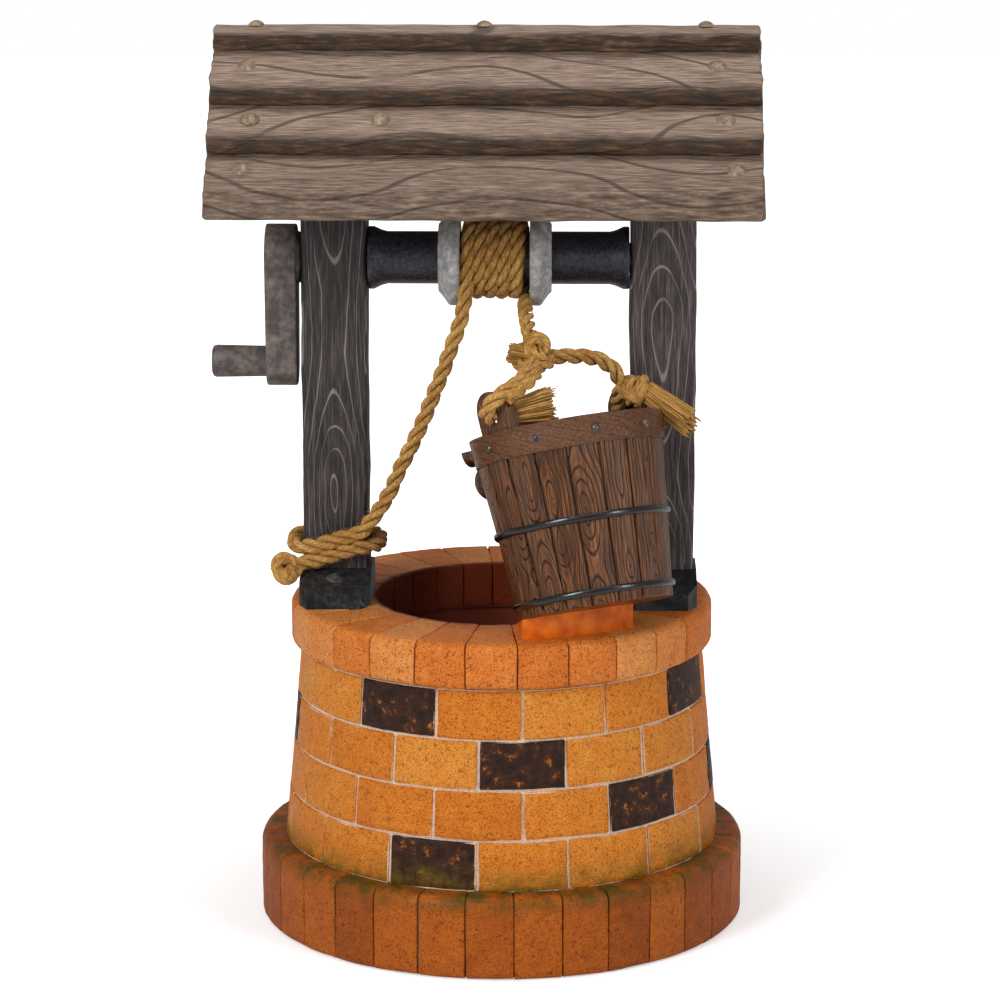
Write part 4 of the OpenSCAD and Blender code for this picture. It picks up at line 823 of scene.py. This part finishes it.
bucket = bmesh.new()
lay = bucket.verts.layers.float_vector.new("lay")
template = slab(15.6, 5, BUCKET_H, 0.9, (6, 1, 24), 2)
for k in range(18):
    new = add_copy(bucket, template)
    for v in new:
        up = v.co.z + BUCKET_H / 2
        turn = math.radians(20 * k) + v.co.x / 7.8 * (math.radians(10) - 0.32 / stave_r(up))
        r = stave_r(up) - STAVE_T / 2 - v.co.y + 0.15
        v[lay] = Vector((v.co.x + 4 * math.sin(5 * k), v.co.y * 0.3, v.co.z + 153 * k)) * 0.001
        wobble = 0.35 * noise.noise(Vector((v.co.x / 5 + 9 * k, 0, up / 26))) * (1 if v.co.y < 0 else 0.3)
        aside = r * math.sin(turn - SPOUT_TURN)
        if abs(aside) < 8.3 and math.cos(turn - SPOUT_TURN) > 0:
            up = min(up, BUCKET_H - 2 - math.sqrt(8.3 ** 2 - aside ** 2))
        v.co = Vector(((r + wobble) * math.cos(turn), (r + wobble) * math.sin(turn), up))
template.free()
lining = spun([(stave_r(1) - 4.6, 1), (stave_r(1) - 1.1, 1), (stave_r(84) - 1.1, 84), (stave_r(84) - 4.6, 84)])
add_copy(bucket, lining)
lining.free()
bmesh.ops.transform(bucket, matrix=LEAN, verts=bucket.verts)
piece("bucket_stave_ring", bucket, stave_wood, replaces=("bucket_staves",), angle=50)

# %% Hoops
def iron_finish(name, colour, worn, rough, coat=0.0, metal=0.0, grain_mm=3.5):
    """Painted or blacked iron, rubbed paler on its high places."""
    material, tree, shader = new_finish(name, Roughness=rough, Coat_Weight=coat, Coat_Roughness=0.1, Metallic=metal)
    here = add(tree, "TexCoord").outputs["Object"]
    rub = add(tree, "TexNoise", {"Vector": here, "Scale": per_mm(grain_mm), "Detail": 5, "Roughness": 0.7}).outputs["Fac"]
    tree.links.new(add(tree, "ValToRGB", {"Fac": rub}, stops=[(0.42, colour), (0.72, worn)]).outputs["Color"], shader.inputs["Base Color"])
    tree.links.new(add(tree, "Bump", {"Height": rub, "Strength": 0.35, "Distance": 0.0006}).outputs["Normal"], shader.inputs["Normal"])
    return material


hoop_black = iron_finish("polished_black_hoop_enamel", "#060504", "#14100C", 0.24, coat=0.4)
shoe_black = iron_finish("blacked_cast_iron_shoe", "#19191B", "#4A494C", 0.5)
nail_iron = iron_finish("rusty_forged_nail", "#6E5A46", "#B09A80", 0.55)
rivet_iron = iron_finish("lacquered_rivet", "#2A1A12", "#80685A", 0.3, coat=0.4)


def hoop(name, node, up, width, thick):
    r = stave_r(up)
    lean = (TOP_R - FOOT_R) / BUCKET_H
    h = width / 2
    bm = spun([(r - 0.6 - lean * h, up - h), (r + thick * 0.6 - lean * h, up - h), (r + thick - lean * h * 0.6, up - h * 0.55), (r + thick + lean * h * 0.6, up + h * 0.55),
               (r + thick * 0.6 + lean * h, up + h), (r - 0.6 + lean * h, up + h)], 120)
    for v in bm.verts:
        v.co.z += 0.35 * noise.noise(Vector((v.co.x / 16, v.co.y / 16, up)))
    bmesh.ops.transform(bm, matrix=LEAN, verts=bm.verts)
    return piece(name, bm, hoop_black, replaces=(node,), angle=50)


hoop("middle_hoop_band", "bucket_middle_hoop", 44.22, 3.6, 1.9)
hoop("lower_hoop_band", "bucket_lower_hoop", 6.67, 3.6, 1.9)

# %% [markdown]
# ## Worn copies of the CAD parts
# A part whose shape is right only needs softer edges: its mesh is copied, its loose triangles are merged
# and dissolved into flat faces, and the arrises are bevelled as handling or casting would round them.

# %% Worn copy
def worn_copy(name, node, material, edge, body="well", lay_matrix=None, bend=0.0, seed=1, angle=45):
    bm = bmesh.new()
    bm.from_mesh(nodes[node].data)
    bmesh.ops.scale(bm, vec=(1000, 1000, 1000), verts=bm.verts)
    bmesh.ops.remove_doubles(bm, verts=bm.verts, dist=0.002)
    bmesh.ops.dissolve_limit(bm, angle_limit=math.radians(1.5), verts=bm.verts, edges=bm.edges)
    if edge:
        sharp = [e for e in bm.edges if len(e.link_faces) == 2 and e.calc_face_angle(0) > math.radians(32)]
        bmesh.ops.bevel(bm, geom=sharp, offset=edge, segments=2, profile=0.5, affect="EDGES", material=-1, clamp_overlap=True)
    lay = bm.verts.layers.float_vector.new("lay")
    back = (lay_matrix or Matrix.Identity(4)).inverted()
    for v in bm.verts:
        v[lay] = (back @ v.co + Vector((31 * seed, 0, 57 * seed))) * 0.001
    return piece(name, bm, material, body=body, replaces=(node,), angle=angle)


along_x = Matrix.Rotation(math.radians(90), 4, "Y")
worn_copy("left_iron_shoe", "shoe_left", shoe_black, 0.9)
worn_copy("right_iron_shoe", "shoe_right", shoe_black, 0.9)
worn_copy("left_bucket_ear", "bucket_ear_left", stave_wood, 0.8, lay_matrix=LEAN, seed=3)
worn_copy("right_bucket_ear", "bucket_ear_right", stave_wood, 0.8, lay_matrix=LEAN, seed=4)
worn_copy("left_rafter_plate", "rafter_left", charcoal, 0.8, lay_matrix=along_x, seed=5)
worn_copy("right_rafter_plate", "rafter_right", charcoal, 0.8, lay_matrix=along_x, seed=6)

# %% [markdown]
# ## Windlass
# The drum is turned: a barrel with a flange at each side of the rope. Each is a profile spun round the
# axle. The crank is a flat forged arm with a turned grip. All of it turns with the body "windlass".

# %% Windlass pieces
ACROSS = Matrix.Translation(Vector((0, 0, AXLE_Z))) @ Matrix.Rotation(math.radians(90), 4, "Y")
drum_wood = iron_finish("black_dry_brushed_barrel", "#131217", "#4C4A56", 0.38, grain_mm=1.4)
flange_paint = iron_finish("pale_dry_brushed_flange", "#9A9896", "#DEDBD8", 0.48, grain_mm=5)
crank_paint = iron_finish("grey_dry_brushed_crank", "#463E3B", "#7C716B", 0.55, grain_mm=6)


def turned(name, node, profile, material):
    """Profile of (radius, X) spun round the axle."""
    bm = spun(profile)
    lay = bm.verts.layers.float_vector.new("lay")
    for v in bm.verts:
        v[lay] = v.co * 0.001
        v.co.xy *= 1 + 0.012 * noise.noise(v.co / 7)
    bmesh.ops.transform(bm, matrix=ACROSS, verts=bm.verts)
    return piece(name, bm, material, body="windlass", replaces=(node,), angle=40)


half = 68.5
turned("barrel", "windlass_barrel", [(8.05, FRAME_X - half), (16.0, FRAME_X - half), (16.5, FRAME_X - half + 0.6), (16.5, FRAME_X - half + 3), (14.7, FRAME_X - half + 7), (13.9, FRAME_X - half + 10),
       (13.9, FRAME_X + half - 10), (14.7, FRAME_X + half - 7), (16.5, FRAME_X + half - 3), (16.5, FRAME_X + half - 0.6), (16.0, FRAME_X + half), (8.05, FRAME_X + half)], drum_wood)
flange = [(13.9, 0), (23.3, 0), (24.5, 0.5), (25.1, 1.6), (25.3, 3.8), (25.1, 5.6), (24.1, 6.6), (22.5, 7.6), (19.2, 10.2), (17.9, 11.4), (13.9, 11.4)]
turned("left_flange", "drum_flange_left", [(r, -21.7 - x) for r, x in flange], flange_paint)
turned("right_flange", "drum_flange_right", [(r, 14.9 + x) for r, x in flange], flange_paint)
worn_copy("crank_arm_casting", "crank_arm", crank_paint, 1.3, body="windlass", seed=8)
worn_copy("crank_grip_turning", "crank_grip", crank_paint, 0, body="windlass", lay_matrix=along_x, seed=9, angle=30)

# %% [markdown]
# ## Finishes for the plain nodes
# The parts that the photograph hides, such as the pump, keep their CAD meshes and get the moulded finishes
# that such parts have.

# %% Moulded and small finishes
def moulded(name, colour, rough, grain_mm=0.5, strength=0.15, **constants):
    """Moulded plastic or rubber: one colour right through, a fine mould texture, and slight mottling."""
    material, tree, shader = new_finish(name, Roughness=rough, **constants)
    here = add(tree, "TexCoord").outputs["Object"]
    fine = add(tree, "TexNoise", {"Vector": here, "Scale": per_mm(grain_mm), "Detail": 2}).outputs["Fac"]
    cloud = add(tree, "TexNoise", {"Vector": here, "Scale": per_mm(18), "Detail": 3}).outputs["Fac"]
    shade = add(tree, "ValToRGB", {"Fac": cloud}, stops=[(0.3, "#D8D8D8"), (0.7, "#FFFFFF")]).outputs["Color"]
    tree.links.new(add(tree, "Mix", {0: 1.0, 6: paint(colour), 7: shade}, data_type="RGBA", blend_type="MULTIPLY").outputs[2], shader.inputs["Base Color"])
    tree.links.new(add(tree, "Bump", {"Height": fine, "Strength": strength, "Distance": 0.0002}).outputs["Normal"], shader.inputs["Normal"])
    return material


dress(["reservoir_tub"], moulded("black_moulded_polypropylene", "#1B1B1D", 0.5))
dress(["cable_grommet"], moulded("black_rubber_grommet", "#101010", 0.7))
dress(["pump_body"], moulded("black_moulded_abs", "#141416", 0.35))
dress(["pump_intake_cover"], moulded("dark_grey_moulded_abs", "#242427", 0.4))
dress(["pump_impeller"], moulded("white_moulded_acetal", "#C9C9C4", 0.35))
dress(["pump_flow_dial"], moulded("grey_moulded_dial", "#5C6166", 0.45))
dress(["pump_suction_feet"], moulded("soft_black_rubber_foot", "#161616", 0.75))
dress(["riser_pipe"], moulded("milky_pvc_pipe", "#D4D8D6", 0.3))
steel = iron_finish("zinc_plated_screw_steel", "#8E9196", "#C4C6CA", 0.35, metal=1.0)
dress(["post_screws"], steel)
dress(["windlass_axle"], iron_finish("turned_steel_axle", "#55565A", "#8A8B90", 0.4, metal=1.0))
dress(["shoe_studs"], iron_finish("worn_iron_stud", "#2A2A2C", "#77777A", 0.45))
dress(["roof_nails"], nail_iron)
dress(["bucket_rivets"], rivet_iron)

band_wood = carved_wood("lacquered_top_band", "#2C1606", "#563312", "#8A5A32", "#140904", turn=(math.pi / 2, 0, 0), line_mm=5, line_amount=0.3, rough=0.32, coat=0.4, brush=0.3, depth_mm=0.3)
dress(["bucket_top_band"], band_wood)
dress(["pouring_spout", "bucket_bottom"], carved_wood("lacquered_bucket_end_wood", "#221005", "#43260F", "#68442A", "#120701", turn=(0, 0, 0), line_mm=4, line_amount=0.5, rough=0.28, coat=0.6))
wedge, tree, shader = new_finish("glazed_orange_wedge", Roughness=0.4, Coat_Weight=0.12, Coat_Roughness=0.15, Specular_IOR_Level=0.2)
here = add(tree, "TexCoord").outputs["Object"]
cloud = add(tree, "TexNoise", {"Vector": here, "Scale": per_mm(9), "Detail": 4}).outputs["Fac"]
tree.links.new(add(tree, "ValToRGB", {"Fac": cloud}, stops=[(0.3, "#C85404"), (0.5, "#E86E06"), (0.7, "#F68C1E")]).outputs["Color"], shader.inputs["Base Color"])
tree.links.new(add(tree, "Bump", {"Height": cloud, "Strength": 0.4, "Distance": 0.0008}).outputs["Normal"], shader.inputs["Normal"])
dress(["bucket_wedge"], wedge)
print("Plain nodes dressed")

# %% [markdown]
# ## Floor and light
# The photograph is lit by large soft lamps in front, with white all round. The floor and world are white to
# the camera, and light the object at a plain level.

# %% Studio
floor_bm = bmesh.new()
bmesh.ops.create_grid(floor_bm, x_segments=1, y_segments=1, size=4)
floor_mesh = bpy.data.meshes.new("studio_floor")
floor_bm.to_mesh(floor_mesh)
floor_bm.free()
floor = bpy.data.objects.new("studio_floor", floor_mesh)
bpy.context.scene.collection.objects.link(floor)
floor_paint, tree, shader = new_finish("white_studio_floor", Roughness=0.9)
shader.inputs["Base Color"].default_value = (0.8, 0.8, 0.8, 1)
seen = add(tree, "LightPath").outputs["Is Camera Ray"]
shader.inputs["Emission Color"].default_value = (1, 1, 1, 1)
# the paper is lit evenly to white past the object's own shadow
far = add(tree, "VectorMath", {0: add(tree, "TexCoord").outputs["Object"]}, operation="LENGTH").outputs["Value"]
glow = add(tree, "MapRange", {"Value": far, "From Min": 0.15, "From Max": 0.7, "To Min": 0.45, "To Max": 1.1}).outputs[0]
tree.links.new(add(tree, "Math", {0: seen, 1: glow}, operation="MULTIPLY").outputs[0], shader.inputs["Emission Strength"])
floor_mesh.materials.append(floor_paint)

world = bpy.data.worlds.new("studio_world")
bpy.context.scene.world = world
world.use_nodes = True
tree = world.node_tree
back = tree.nodes["Background"]
path = add(tree, "LightPath")
bare = add(tree, "Math", {0: path.outputs["Is Camera Ray"], 1: path.outputs["Is Transmission Ray"]}, operation="MAXIMUM").outputs[0]
back.inputs["Color"].default_value = (1, 1, 1, 1)
tree.links.new(add(tree, "MapRange", {"Value": bare, "To Min": 0.34, "To Max": 1.0}).outputs[0], back.inputs["Strength"])


def lamp(name, place, aim, size, watts):
    light = bpy.data.lights.new(name, "AREA")
    light.shape, light.size, light.size_y, light.energy = "RECTANGLE", size[0], size[1], watts
    obj = bpy.data.objects.new(name, light)
    bpy.context.scene.collection.objects.link(obj)
    obj.location = place
    obj.rotation_euler = (Vector(aim) - Vector(place)).to_track_quat("-Z", "Y").to_euler()
    return obj


lamp("key_from_the_left", (-1.0, -1.4, 1.2), (0, 0, 0.25), (0.45, 1.1), 20)
lamp("fill_from_the_right", (1.2, -1.1, 0.9), (0, 0, 0.25), (0.3, 1.0), 8.5)
lamp("top_light", (0, 0.1, 1.8), (0, 0, 0.2), (0.9, 0.9), 7)
bpy.context.scene.view_settings.view_transform = "Standard"
